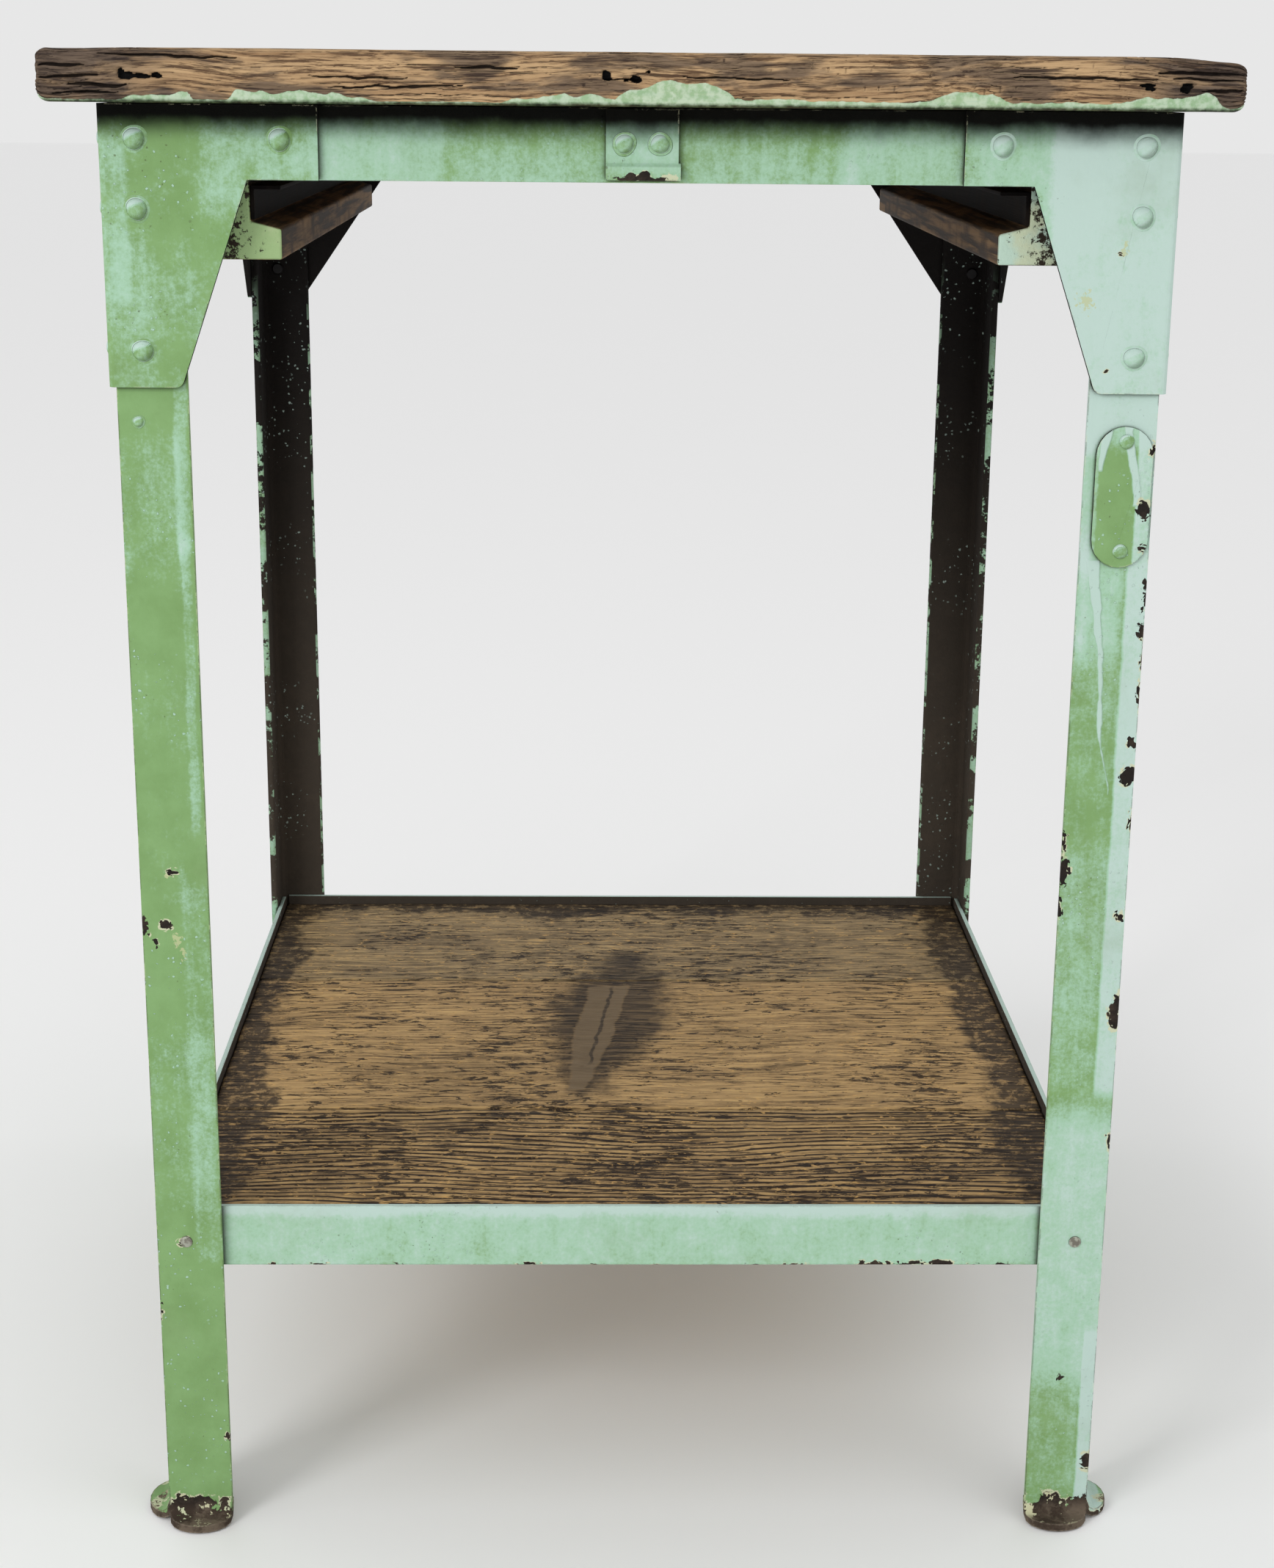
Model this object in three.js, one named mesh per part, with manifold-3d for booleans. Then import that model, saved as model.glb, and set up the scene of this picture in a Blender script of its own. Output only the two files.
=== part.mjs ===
// A potting bench: a riveted frame of steel angle with folded corner plates, a timber top and shelf, and an
// open drawer bay with two timber runners. Millimetres, +X right, +Y back, +Z up. The origin is on the floor
// under the middle of the bench.
import * as THREE from "three";
import { mergeVertices } from "three/addons/utils/BufferGeometryUtils.js";
import Module from "manifold-3d";

const wasm = await Module();
wasm.setup();

// Frame, over the outer faces of the legs.
const FRAME_WIDTH = 558.8;
const FRAME_DEPTH = 590;
const FRAME_TOP = 831.7;
const HALF_WIDTH = FRAME_WIDTH / 2;
const HALF_DEPTH = FRAME_DEPTH / 2;
const GAP = 0.3;

// Legs: hot-rolled angle, both flanges bent outward at the floor.
const FLANGE = 38.1;
const LEG_THICK = 4.8;
const LEG_FILLET = 4.5;
const LEG_TOE_RADIUS = 2.4;
const FOOT_BEND = 8;
const FOOT_REACH = 15;

// Corner plates: folded round each leg, with one arm along each rail.
const PLATE_THICK = 3.2;
const PLATE_FACE = GAP + PLATE_THICK;
const PLATE_HEIGHT = 146;
const PLATE_REACH = 114.3;
const PLATE_FOOT = 39;
const PLATE_CUT_BACK = 77;
const PLATE_CORNER = 5;

// Rails: formed angle.
const RAIL_THICK = 3.2;
const TOP_RAIL_BOTTOM = FRAME_TOP - FLANGE;
const SHELF_RAIL_BOTTOM = 167.9;
const SHELF_RAIL_HALF_X = 269.4;
const SHELF_RAIL_HALF_Y = 285;

// Timber.
const TOP_HALF_X = 309.5;
const TOP_HALF_Y = 323.6;
const TOP_THICK = 28;
const TOP_BOARDS = 4;
const TOP_EDGE_RADIUS = 2;
const TOP_WORN_CORNER = 14;
const TOP_CORNER = 4;
const SHELF_THICK = 28.6;
const SHELF_EDGE_RADIUS = 1.5;
const SHELF_SEAMS = [-131.5, 108.5];
const BOARD_SEAM = 1.2;

// Drawer runners and the steel guide strips on them. Distances across are from the middle of the bench.
const RUNNER_INNER = 190.5;
const RUNNER_OUTER = 228.6;
const RUNNER_WEB = 206.8;
const RUNNER_BOTTOM = 751.8;
const RUNNER_HALF_Y = 283;
const LEDGE_EDGE_HEIGHT = 768;
const LEDGE_ROOT_HEIGHT = 772;
const GUIDE_THICK = 2;
const GUIDE_BOTTOM = 772.6;
const GUIDE_TOP = 790.2;

// Centre bracket on the front rail.
const BRACKET_HALF_X = 19;
const BRACKET_THICK = 3;
const BRACKET_BOTTOM = 795;
const BRACKET_TOP = 831.4;
const LIP_HEIGHT = 7;
const LIP_REACH = 1.8;
const LIP_OVERHANG = 1.2;

// Tag plate on the front right leg: a blank strip with round ends.
const TAG_X = 262.5;
const TAG_WIDTH = 31;
const TAG_BOTTOM = 591;
const TAG_TOP = 668;
const TAG_THICK = 1.5;

// Fasteners. A tail is the upset end on the inside of the joint.
const CORNER_RIVET = { shank: 3.2, head: 5.3, rise: 3.2, tail: 4.6, tailRise: 1.4 };
const BRACKET_RIVET = { shank: 2.8, head: 4.6, rise: 2.4, tail: 4, tailRise: 1.2 };
const TAG_RIVET = { shank: 2.2, head: 4, rise: 1.4, tail: 3, tailRise: 1 };
const LEG_RIVET = { shank: 1.6, head: 2.6, rise: 1.2, tail: 2.2, tailRise: 0.8 };
const SHELF_BOLT = { shank: 3, head: 3.7, rise: 1, tail: 0, tailRise: 0 };
const CORNER_RIVET_X = 263.7;
const CORNER_RIVET_HEIGHTS = [814, 778.4, 705];
const RAIL_RIVET_X = 188.4;
const RAIL_RIVET_HEIGHT = 814;
const BRACKET_RIVET_X = 9.3;
const BRACKET_RIVET_HEIGHT = 813.5;
const TAG_RIVET_X = 263.2;
const TAG_RIVET_HEIGHTS = [660, 600];
const LEG_RIVET_X = 268.5;
const LEG_RIVET_HEIGHT = 667;
const SHELF_BOLT_FROM_CORNER = 17;
const SHELF_BOLT_HEIGHT = 185.5;

const ARC_STEPS = 4;
const HOLE_SIDES = 10;
const HEAD_SIDES = 16;
const DOME_STEPS = 4;
const CUT_MARGIN = 5;

const PAINT = { color: 0x9cc18c, roughness: 0.5, metalness: 0.1 };
const BARE_STEEL = { color: 0x5b5048, roughness: 0.65, metalness: 0.7 };
const TOP_WOOD = { color: 0xa58362, roughness: 0.85, metalness: 0 };
const SHELF_WOOD = { color: 0xb28c58, roughness: 0.75, metalness: 0 };

const FRONT = -1;
const REAR = 1;
const LEFT = -1;
const RIGHT = 1;
const CORNERS = [
  { name: "front_left", side: LEFT, end: FRONT },
  { name: "front_right", side: RIGHT, end: FRONT },
  { name: "rear_left", side: LEFT, end: REAR },
  { name: "rear_right", side: RIGHT, end: REAR },
];

const bench = new THREE.Group();
bench.name = "potting_bench";

function addMesh(name, geometry, material) {
  const mesh = new THREE.Mesh(geometry, new THREE.MeshStandardMaterial(material));
  mesh.name = name;
  bench.add(mesh);
}

function addSolid(name, body, material) {
  const { vertProperties, triVerts } = body.getMesh();
  const geometry = new THREE.BufferGeometry();
  geometry.setAttribute("position", new THREE.BufferAttribute(vertProperties, 3));
  geometry.setIndex(new THREE.BufferAttribute(triVerts, 1));
  addMesh(name, geometry, material);
}

function solidFrom(geometry) {
  geometry.deleteAttribute("normal");
  geometry.deleteAttribute("uv");
  const merged = mergeVertices(geometry, 1e-4);
  const mesh = new wasm.Mesh({
    numProp: 3,
    vertProperties: merged.attributes.position.array,
    triVerts: new Uint32Array(merged.index.array),
  });
  return new wasm.Manifold(mesh);
}

// A prism between two positions on an axis. Its outline holds [y, z] points along x, [x, z] points along y
// and [x, y] points along z.
function prism(outline, axis, from, to) {
  const low = Math.min(from, to);
  const high = Math.max(from, to);
  const shape = new THREE.Shape(outline.map(([u, v]) => new THREE.Vector2(u, v)));
  const geometry = new THREE.ExtrudeGeometry(shape, { depth: high - low, bevelEnabled: false });
  const x = new THREE.Vector3(1, 0, 0);
  const y = new THREE.Vector3(0, 1, 0);
  const z = new THREE.Vector3(0, 0, 1);
  const placed = {
    x: () => new THREE.Matrix4().makeBasis(y, z, x).setPosition(low, 0, 0),
    y: () => new THREE.Matrix4().makeBasis(x, z, y.negate()).setPosition(0, high, 0),
    z: () => new THREE.Matrix4().setPosition(0, 0, low),
  };
  return solidFrom(geometry.applyMatrix4(placed[axis]()));
}

function arc(centreU, centreV, radiusU, radiusV, startAngle, endAngle, steps) {
  return Array.from({ length: steps + 1 }, (_, step) => {
    const angle = THREE.MathUtils.lerp(startAngle, endAngle, step / steps);
    return [centreU + radiusU * Math.cos(angle), centreV + radiusV * Math.sin(angle)];
  });
}

// Turns each corner given as [u, v, radius] into a short arc. A corner without a radius stays sharp.
function softened(corners) {
  return corners.flatMap(([u, v, radius], index) => {
    if (!radius) return [[u, v]];
    const here = new THREE.Vector2(u, v);
    const [beforeU, beforeV] = corners.at(index - 1);
    const [afterU, afterV] = corners[(index + 1) % corners.length];
    const before = new THREE.Vector2(beforeU, beforeV).sub(here).normalize();
    const after = new THREE.Vector2(afterU, afterV).sub(here).normalize();
    const halfAngle = Math.acos(before.dot(after)) / 2;
    const middle = before.clone().add(after).normalize();
    const centre = here.clone().addScaledVector(middle, radius / Math.sin(halfAngle));
    const start = here.clone().addScaledVector(before, radius / Math.tan(halfAngle)).sub(centre).angle();
    const end = here.clone().addScaledVector(after, radius / Math.tan(halfAngle)).sub(centre).angle();
    const turn = THREE.MathUtils.euclideanModulo(end - start + Math.PI, 2 * Math.PI) - Math.PI;
    return arc(centre.x, centre.y, radius, radius, start, start + turn, ARC_STEPS);
  });
}

function boxOutline(lowU, lowV, highU, highV, radius = 0) {
  return softened([
    [lowU, lowV, radius],
    [highU, lowV, radius],
    [highU, highV, radius],
    [lowU, highV, radius],
  ]);
}

// A round hole's cutter through whatever stands between two positions on its axis.
function drill(radius, axis, u, v, from, to) {
  const outline = arc(u, v, radius, radius, 0, 2 * Math.PI, HOLE_SIDES).slice(0, HOLE_SIDES);
  return prism(outline, axis, from, to);
}

function drillFace(body, fastener, end, x, height) {
  const inside = end * (HALF_DEPTH - LEG_THICK - CUT_MARGIN);
  const outside = end * (HALF_DEPTH + CUT_MARGIN);
  return body.subtract(drill(fastener.shank + GAP, "y", x, height, inside, outside));
}

function drillSide(body, fastener, side, y, height) {
  const inside = side * (HALF_WIDTH - LEG_THICK - FLANGE / 4);
  const outside = side * (HALF_WIDTH + CUT_MARGIN);
  return body.subtract(drill(fastener.shank + GAP, "x", y, height, inside, outside));
}

// One flange of a foot, bent outward on a quarter turn and trimmed to a tongue.
function footFlange(axis, toAcross, toOut) {
  const bendTop = LEG_THICK + FOOT_BEND;
  const profile = [
    ...arc(-FOOT_BEND, bendTop, FOOT_BEND, FOOT_BEND, 0, -Math.PI / 2, ARC_STEPS + 1),
    [-FOOT_REACH, LEG_THICK],
    [-FOOT_REACH, 0],
    ...arc(-FOOT_BEND, bendTop, bendTop, bendTop, -Math.PI / 2, 0, ARC_STEPS + 1),
  ];
  const bent = prism(profile.map(([out, z]) => [toOut(out), z]), axis, toAcross(0), toAcross(FLANGE));
  const tongue = [
    [0, LEG_THICK],
    ...arc(FLANGE / 2, 0, FLANGE / 2, FOOT_REACH, -Math.PI, 0, 2 * ARC_STEPS + 2),
    [FLANGE, LEG_THICK],
  ];
  const plan = tongue.map(([across, out]) =>
    axis === "x" ? [toAcross(across), toOut(out)] : [toOut(out), toAcross(across)],
  );
  return bent.intersect(prism(plan, "z", 0, bendTop));
}

function addLeg({ name, side, end }) {
  const fromSide = (distance) => side * (HALF_WIDTH - distance);
  const fromEnd = (distance) => end * (HALF_DEPTH - distance);
  const section = softened([
    [0, 0],
    [FLANGE, 0],
    [FLANGE, LEG_THICK, LEG_TOE_RADIUS],
    [LEG_THICK, LEG_THICK, LEG_FILLET],
    [LEG_THICK, FLANGE, LEG_TOE_RADIUS],
    [0, FLANGE],
  ]).map(([across, along]) => [fromSide(across), fromEnd(along)]);
  let body = prism(section, "z", LEG_THICK + FOOT_BEND, FRAME_TOP)
    .add(footFlange("x", fromSide, fromEnd))
    .add(footFlange("y", fromEnd, fromSide));
  for (const height of CORNER_RIVET_HEIGHTS) {
    body = drillFace(body, CORNER_RIVET, end, side * CORNER_RIVET_X, height);
  }
  body = drillFace(body, SHELF_BOLT, end, fromSide(SHELF_BOLT_FROM_CORNER), SHELF_BOLT_HEIGHT);
  body = drillSide(body, SHELF_BOLT, side, fromEnd(SHELF_BOLT_FROM_CORNER), SHELF_BOLT_HEIGHT);
  if (name === "front_right") {
    for (const height of TAG_RIVET_HEIGHTS) {
      body = drillFace(body, TAG_RIVET, end, TAG_RIVET_X, height);
    }
  }
  if (name === "front_left") {
    body = drillFace(body, LEG_RIVET, end, -LEG_RIVET_X, LEG_RIVET_HEIGHT);
  }
  addSolid(`leg_${name}`, body, PAINT);
}

// One arm's outline, as distances in from the leg's outer face and heights.
function armOutline(reachBelowRail) {
  const bottom = FRAME_TOP - PLATE_HEIGHT;
  const armTip = PLATE_REACH - PLATE_FACE;
  return softened([
    [-PLATE_FACE - CUT_MARGIN, bottom],
    [PLATE_FOOT - PLATE_FACE, bottom, PLATE_CORNER],
    [reachBelowRail - PLATE_FACE, TOP_RAIL_BOTTOM],
    [armTip, TOP_RAIL_BOTTOM],
    [armTip, FRAME_TOP],
    [-PLATE_FACE - CUT_MARGIN, FRAME_TOP],
  ]);
}

function addCornerPlate({ name, side, end }) {
  const fromSide = (distance) => side * (HALF_WIDTH - distance);
  const fromEnd = (distance) => end * (HALF_DEPTH - distance);
  const armTip = PLATE_REACH - PLATE_FACE;
  const folded = softened([
    [-PLATE_FACE, -PLATE_FACE, PLATE_FACE],
    [armTip, -PLATE_FACE],
    [armTip, -GAP],
    [-GAP, -GAP],
    [-GAP, armTip],
    [-PLATE_FACE, armTip],
  ]).map(([across, along]) => [fromSide(across), fromEnd(along)]);
  const blank = prism(folded, "z", FRAME_TOP - PLATE_HEIGHT, FRAME_TOP);
  const faceReach = end === FRONT ? PLATE_CUT_BACK : armTip + PLATE_FACE;
  const faceOutline = armOutline(faceReach).map(([across, z]) => [fromSide(across), z]);
  const sideOutline = armOutline(PLATE_REACH).map(([along, z]) => [fromEnd(along), z]);
  const faceArm = prism(faceOutline, "y", fromEnd(-PLATE_FACE - CUT_MARGIN), fromEnd(-GAP / 2));
  const sideArm = prism(sideOutline, "x", fromSide(-PLATE_FACE - CUT_MARGIN), fromSide(-GAP / 2));
  let body = blank.intersect(faceArm.add(sideArm));
  for (const height of CORNER_RIVET_HEIGHTS) {
    body = drillFace(body, CORNER_RIVET, end, side * CORNER_RIVET_X, height);
  }
  body = drillFace(body, CORNER_RIVET, end, side * RAIL_RIVET_X, RAIL_RIVET_HEIGHT);
  addSolid(`corner_plate_${name}`, body, PAINT);
}

// An angle rail's section, with its flat flange along the top edge or the bottom edge.
function railOutline(direction, outer, bottom, flangeOnTop) {
  const top = bottom + FLANGE;
  const flat = flangeOnTop ? top : bottom;
  const tip = flangeOnTop ? bottom : top;
  const root = flangeOnTop ? top - RAIL_THICK : bottom + RAIL_THICK;
  return [
    [outer, flat],
    [outer, tip],
    [outer - RAIL_THICK, tip],
    [outer - RAIL_THICK, root],
    [outer - FLANGE, root],
    [outer - FLANGE, flat],
  ].map(([across, z]) => [direction * across, z]);
}

function addTopRails() {
  const halfX = HALF_WIDTH - FLANGE - GAP;
  const halfY = HALF_DEPTH - FLANGE - GAP;
  for (const [name, end] of [["front", FRONT], ["rear", REAR]]) {
    let body = prism(railOutline(end, HALF_DEPTH, TOP_RAIL_BOTTOM, true), "x", -halfX, halfX);
    for (const side of [LEFT, RIGHT]) {
      body = drillFace(body, CORNER_RIVET, end, side * RAIL_RIVET_X, RAIL_RIVET_HEIGHT);
      if (end === FRONT) {
        body = drillFace(body, BRACKET_RIVET, end, side * BRACKET_RIVET_X, BRACKET_RIVET_HEIGHT);
      }
    }
    addSolid(`top_rail_${name}`, body, PAINT);
  }
  for (const [name, side] of [["left", LEFT], ["right", RIGHT]]) {
    const body = prism(railOutline(side, HALF_WIDTH, TOP_RAIL_BOTTOM, true), "y", -halfY, halfY);
    addSolid(`top_rail_${name}`, body, PAINT);
  }
}

function addShelfRails() {
  const outerX = HALF_WIDTH - LEG_THICK - GAP;
  const outerY = HALF_DEPTH - LEG_THICK - GAP;
  for (const [name, end] of [["front", FRONT], ["rear", REAR]]) {
    const section = railOutline(end, outerY, SHELF_RAIL_BOTTOM, false);
    let body = prism(section, "x", -SHELF_RAIL_HALF_X, SHELF_RAIL_HALF_X);
    for (const side of [LEFT, RIGHT]) {
      const x = side * (HALF_WIDTH - SHELF_BOLT_FROM_CORNER);
      body = drillFace(body, SHELF_BOLT, end, x, SHELF_BOLT_HEIGHT);
    }
    addSolid(`shelf_rail_${name}`, body, PAINT);
  }
  // The side rails' flat flanges stop short of the front and rear rails.
  const copeY = outerY - FLANGE - GAP;
  for (const [name, side] of [["left", LEFT], ["right", RIGHT]]) {
    const section = railOutline(side, outerX, SHELF_RAIL_BOTTOM, false);
    let body = prism(section, "y", -SHELF_RAIL_HALF_Y, SHELF_RAIL_HALF_Y);
    for (const end of [FRONT, REAR]) {
      const cope = boxOutline(
        side * (outerX - FLANGE - CUT_MARGIN),
        SHELF_RAIL_BOTTOM - CUT_MARGIN,
        side * (outerX - RAIL_THICK),
        SHELF_RAIL_BOTTOM + RAIL_THICK + CUT_MARGIN,
      );
      body = body.subtract(prism(cope, "y", end * copeY, end * (SHELF_RAIL_HALF_Y + CUT_MARGIN)));
      const y = end * (HALF_DEPTH - SHELF_BOLT_FROM_CORNER);
      body = drillSide(body, SHELF_BOLT, side, y, SHELF_BOLT_HEIGHT);
    }
    addSolid(`shelf_rail_${name}`, body, PAINT);
  }
}

function addShelfBoards() {
  const halfX = HALF_WIDTH - LEG_THICK - RAIL_THICK - 2 * GAP;
  const halfY = HALF_DEPTH - LEG_THICK - RAIL_THICK - 2 * GAP;
  const bottom = SHELF_RAIL_BOTTOM + RAIL_THICK + GAP;
  const edges = [-halfY - BOARD_SEAM / 2, ...SHELF_SEAMS, halfY + BOARD_SEAM / 2];
  ["front", "middle", "rear"].forEach((name, index) => {
    const near = edges[index] + BOARD_SEAM / 2;
    const far = edges[index + 1] - BOARD_SEAM / 2;
    const section = boxOutline(near, bottom, far, bottom + SHELF_THICK, SHELF_EDGE_RADIUS);
    addSolid(`shelf_board_${name}`, prism(section, "x", -halfX, halfX), SHELF_WOOD);
  });
}

function addTopBoards() {
  const bottom = FRAME_TOP + GAP;
  const top = bottom + TOP_THICK;
  const pitch = (2 * TOP_HALF_Y + BOARD_SEAM) / TOP_BOARDS;
  const plan = softened([
    [-TOP_HALF_X, -TOP_HALF_Y, TOP_CORNER],
    [TOP_HALF_X, -TOP_HALF_Y, TOP_WORN_CORNER],
    [TOP_HALF_X, TOP_HALF_Y, TOP_CORNER],
    [-TOP_HALF_X, TOP_HALF_Y, TOP_CORNER],
  ]);
  const worktop = prism(plan, "z", bottom, top);
  for (let index = 0; index < TOP_BOARDS; index += 1) {
    const near = -TOP_HALF_Y + index * pitch;
    const section = boxOutline(near, bottom, near + pitch - BOARD_SEAM, top, TOP_EDGE_RADIUS);
    const board = prism(section, "x", -TOP_HALF_X, TOP_HALF_X).intersect(worktop);
    addSolid(`top_board_${index + 1}`, board, TOP_WOOD);
  }
}

function addRunners() {
  const runner = [
    [RUNNER_INNER, RUNNER_BOTTOM],
    [RUNNER_OUTER, RUNNER_BOTTOM],
    [RUNNER_OUTER, FRAME_TOP - RAIL_THICK - GAP],
    [RUNNER_WEB, FRAME_TOP - RAIL_THICK - GAP],
    [RUNNER_WEB, LEDGE_ROOT_HEIGHT],
    [RUNNER_INNER, LEDGE_EDGE_HEIGHT],
  ];
  const guide = [
    [RUNNER_WEB - GAP, GUIDE_BOTTOM],
    [RUNNER_WEB - GAP, GUIDE_TOP],
    [RUNNER_INNER, GUIDE_TOP],
    [RUNNER_INNER, GUIDE_TOP - GUIDE_THICK],
    [RUNNER_WEB - GAP - GUIDE_THICK, GUIDE_TOP - GUIDE_THICK],
    [RUNNER_WEB - GAP - GUIDE_THICK, GUIDE_BOTTOM],
  ];
  for (const [name, side] of [["left", LEFT], ["right", RIGHT]]) {
    const placed = (outline) => outline.map(([across, z]) => [side * across, z]);
    const runnerBody = prism(placed(runner), "y", -RUNNER_HALF_Y, RUNNER_HALF_Y);
    const guideBody = prism(placed(guide), "y", -RUNNER_HALF_Y, RUNNER_HALF_Y);
    addSolid(`drawer_runner_${name}`, runnerBody, SHELF_WOOD);
    addSolid(`drawer_guide_${name}`, guideBody, BARE_STEEL);
  }
}

function addCentreBracket() {
  const back = -HALF_DEPTH - GAP;
  const front = back - BRACKET_THICK;
  const strap = boxOutline(front, BRACKET_BOTTOM, back, BRACKET_TOP);
  const lip = [
    [back, BRACKET_BOTTOM],
    [back, BRACKET_BOTTOM + LIP_HEIGHT + LIP_REACH],
    [front, BRACKET_BOTTOM + LIP_HEIGHT + LIP_REACH],
    [front - LIP_REACH, BRACKET_BOTTOM + LIP_HEIGHT],
    [front - LIP_REACH, BRACKET_BOTTOM],
  ];
  let body = prism(strap, "x", -BRACKET_HALF_X, BRACKET_HALF_X)
    .add(prism(lip, "x", -BRACKET_HALF_X, BRACKET_HALF_X + LIP_OVERHANG));
  for (const side of [LEFT, RIGHT]) {
    body = drillFace(body, BRACKET_RIVET, FRONT, side * BRACKET_RIVET_X, BRACKET_RIVET_HEIGHT);
  }
  addSolid("centre_bracket", body, PAINT);
}

function addTagPlate() {
  const radius = TAG_WIDTH / 2;
  const outline = [
    ...arc(TAG_X, TAG_TOP - radius, radius, radius, 0, Math.PI, 3 * ARC_STEPS),
    ...arc(TAG_X, TAG_BOTTOM + radius, radius, radius, Math.PI, 2 * Math.PI, 3 * ARC_STEPS),
  ];
  const back = -HALF_DEPTH - GAP;
  let body = prism(outline, "y", back - TAG_THICK, back);
  for (const height of TAG_RIVET_HEIGHTS) {
    body = drillFace(body, TAG_RIVET, FRONT, TAG_RIVET_X, height);
  }
  addSolid("tag_plate", body, PAINT);
}

// A domed fastener. Its inner point lies on the inside face of the joint, and it points along outward.
function addFastener(name, kind, stack, inner, outward) {
  const headBase = stack + GAP;
  const tail = [
    [0, -GAP - kind.tailRise],
    [kind.tail * 0.8, -GAP - kind.tailRise],
    [kind.tail, -GAP],
    [kind.shank, -GAP],
  ];
  const dome = arc(0, headBase, kind.head, kind.rise, 0, Math.PI / 2, DOME_STEPS);
  dome[DOME_STEPS] = [0, headBase + kind.rise];
  const profile = [
    ...(kind.tail ? tail : [[0, 0], [kind.shank, 0]]),
    [kind.shank, headBase],
    ...dome,
  ].map(([radius, height]) => new THREE.Vector2(radius, height));
  const geometry = new THREE.LatheGeometry(profile, HEAD_SIDES);
  const turned = new THREE.Quaternion().setFromUnitVectors(new THREE.Vector3(0, 1, 0), outward);
  geometry.applyQuaternion(turned).translate(inner.x, inner.y, inner.z);
  addMesh(name, geometry, PAINT);
}

function addFaceFastener(name, kind, end, x, height, innerThick, outerThick) {
  const stack = innerThick + outerThick;
  const inner = new THREE.Vector3(x, end * (HALF_DEPTH - innerThick), height);
  addFastener(name, kind, stack, inner, new THREE.Vector3(0, end, 0));
}

function addFasteners() {
  for (const { name, side, end } of CORNERS) {
    CORNER_RIVET_HEIGHTS.forEach((height, index) => {
      const rivet = `corner_rivet_${name}_${index + 1}`;
      addFaceFastener(rivet, CORNER_RIVET, end, side * CORNER_RIVET_X, height, LEG_THICK, PLATE_FACE);
    });
    const railRivet = `corner_rivet_${name}_${CORNER_RIVET_HEIGHTS.length + 1}`;
    const railX = side * RAIL_RIVET_X;
    addFaceFastener(railRivet, CORNER_RIVET, end, railX, RAIL_RIVET_HEIGHT, RAIL_THICK, PLATE_FACE);

    // The bolts reach the inside face of the shelf rail behind the leg.
    const behindLeg = LEG_THICK + GAP + RAIL_THICK;
    const boltX = side * (HALF_WIDTH - SHELF_BOLT_FROM_CORNER);
    const boltY = end * (HALF_DEPTH - SHELF_BOLT_FROM_CORNER);
    addFaceFastener(`shelf_bolt_${name}_face`, SHELF_BOLT, end, boltX, SHELF_BOLT_HEIGHT, behindLeg, 0);
    const inner = new THREE.Vector3(side * (HALF_WIDTH - behindLeg), boltY, SHELF_BOLT_HEIGHT);
    addFastener(`shelf_bolt_${name}_side`, SHELF_BOLT, behindLeg, inner, new THREE.Vector3(side, 0, 0));
  }
  const bracketStack = BRACKET_THICK + GAP;
  for (const [name, side] of [["left", LEFT], ["right", RIGHT]]) {
    const x = side * BRACKET_RIVET_X;
    const rivet = `bracket_rivet_${name}`;
    addFaceFastener(rivet, BRACKET_RIVET, FRONT, x, BRACKET_RIVET_HEIGHT, RAIL_THICK, bracketStack);
  }
  TAG_RIVET_HEIGHTS.forEach((height, index) => {
    const rivet = `tag_rivet_${index + 1}`;
    addFaceFastener(rivet, TAG_RIVET, FRONT, TAG_RIVET_X, height, LEG_THICK, TAG_THICK + GAP);
  });
  addFaceFastener("leg_rivet_front_left", LEG_RIVET, FRONT, -LEG_RIVET_X, LEG_RIVET_HEIGHT, LEG_THICK, 0);
}

CORNERS.forEach(addLeg);
CORNERS.forEach(addCornerPlate);
addTopRails();
addShelfRails();
addShelfBoards();
addTopBoards();
addRunners();
addCentreBracket();
addTagPlate();
addFasteners();

export default bench;
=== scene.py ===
"""The looks of a potting bench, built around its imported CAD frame.

Everything is in metres in the CAD frame: +X right, +Y back, +Z up. The steel keeps its CAD meshes,
with softened edges and procedural coats. The boards are rebuilt as worn timber, and the rivets get
skins of thick paint.
"""
import math

import bpy
import numpy as np
from mathutils import Matrix, Vector


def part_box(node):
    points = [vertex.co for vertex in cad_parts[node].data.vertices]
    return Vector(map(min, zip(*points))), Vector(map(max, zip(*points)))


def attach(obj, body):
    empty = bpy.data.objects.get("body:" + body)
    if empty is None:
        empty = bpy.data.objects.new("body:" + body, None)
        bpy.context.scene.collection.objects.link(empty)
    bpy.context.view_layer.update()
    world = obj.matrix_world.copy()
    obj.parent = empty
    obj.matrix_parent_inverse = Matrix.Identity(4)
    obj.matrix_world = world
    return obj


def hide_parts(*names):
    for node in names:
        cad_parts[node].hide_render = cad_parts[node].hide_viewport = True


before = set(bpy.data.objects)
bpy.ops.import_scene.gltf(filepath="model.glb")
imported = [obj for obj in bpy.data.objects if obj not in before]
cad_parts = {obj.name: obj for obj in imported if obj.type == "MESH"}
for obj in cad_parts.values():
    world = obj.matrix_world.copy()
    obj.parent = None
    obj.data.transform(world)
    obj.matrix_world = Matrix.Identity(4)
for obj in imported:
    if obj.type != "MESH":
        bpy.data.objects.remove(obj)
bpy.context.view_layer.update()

MM = 0.001
FRONT, REAR = -1, 1
LEFT, RIGHT = -1, 1

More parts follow.
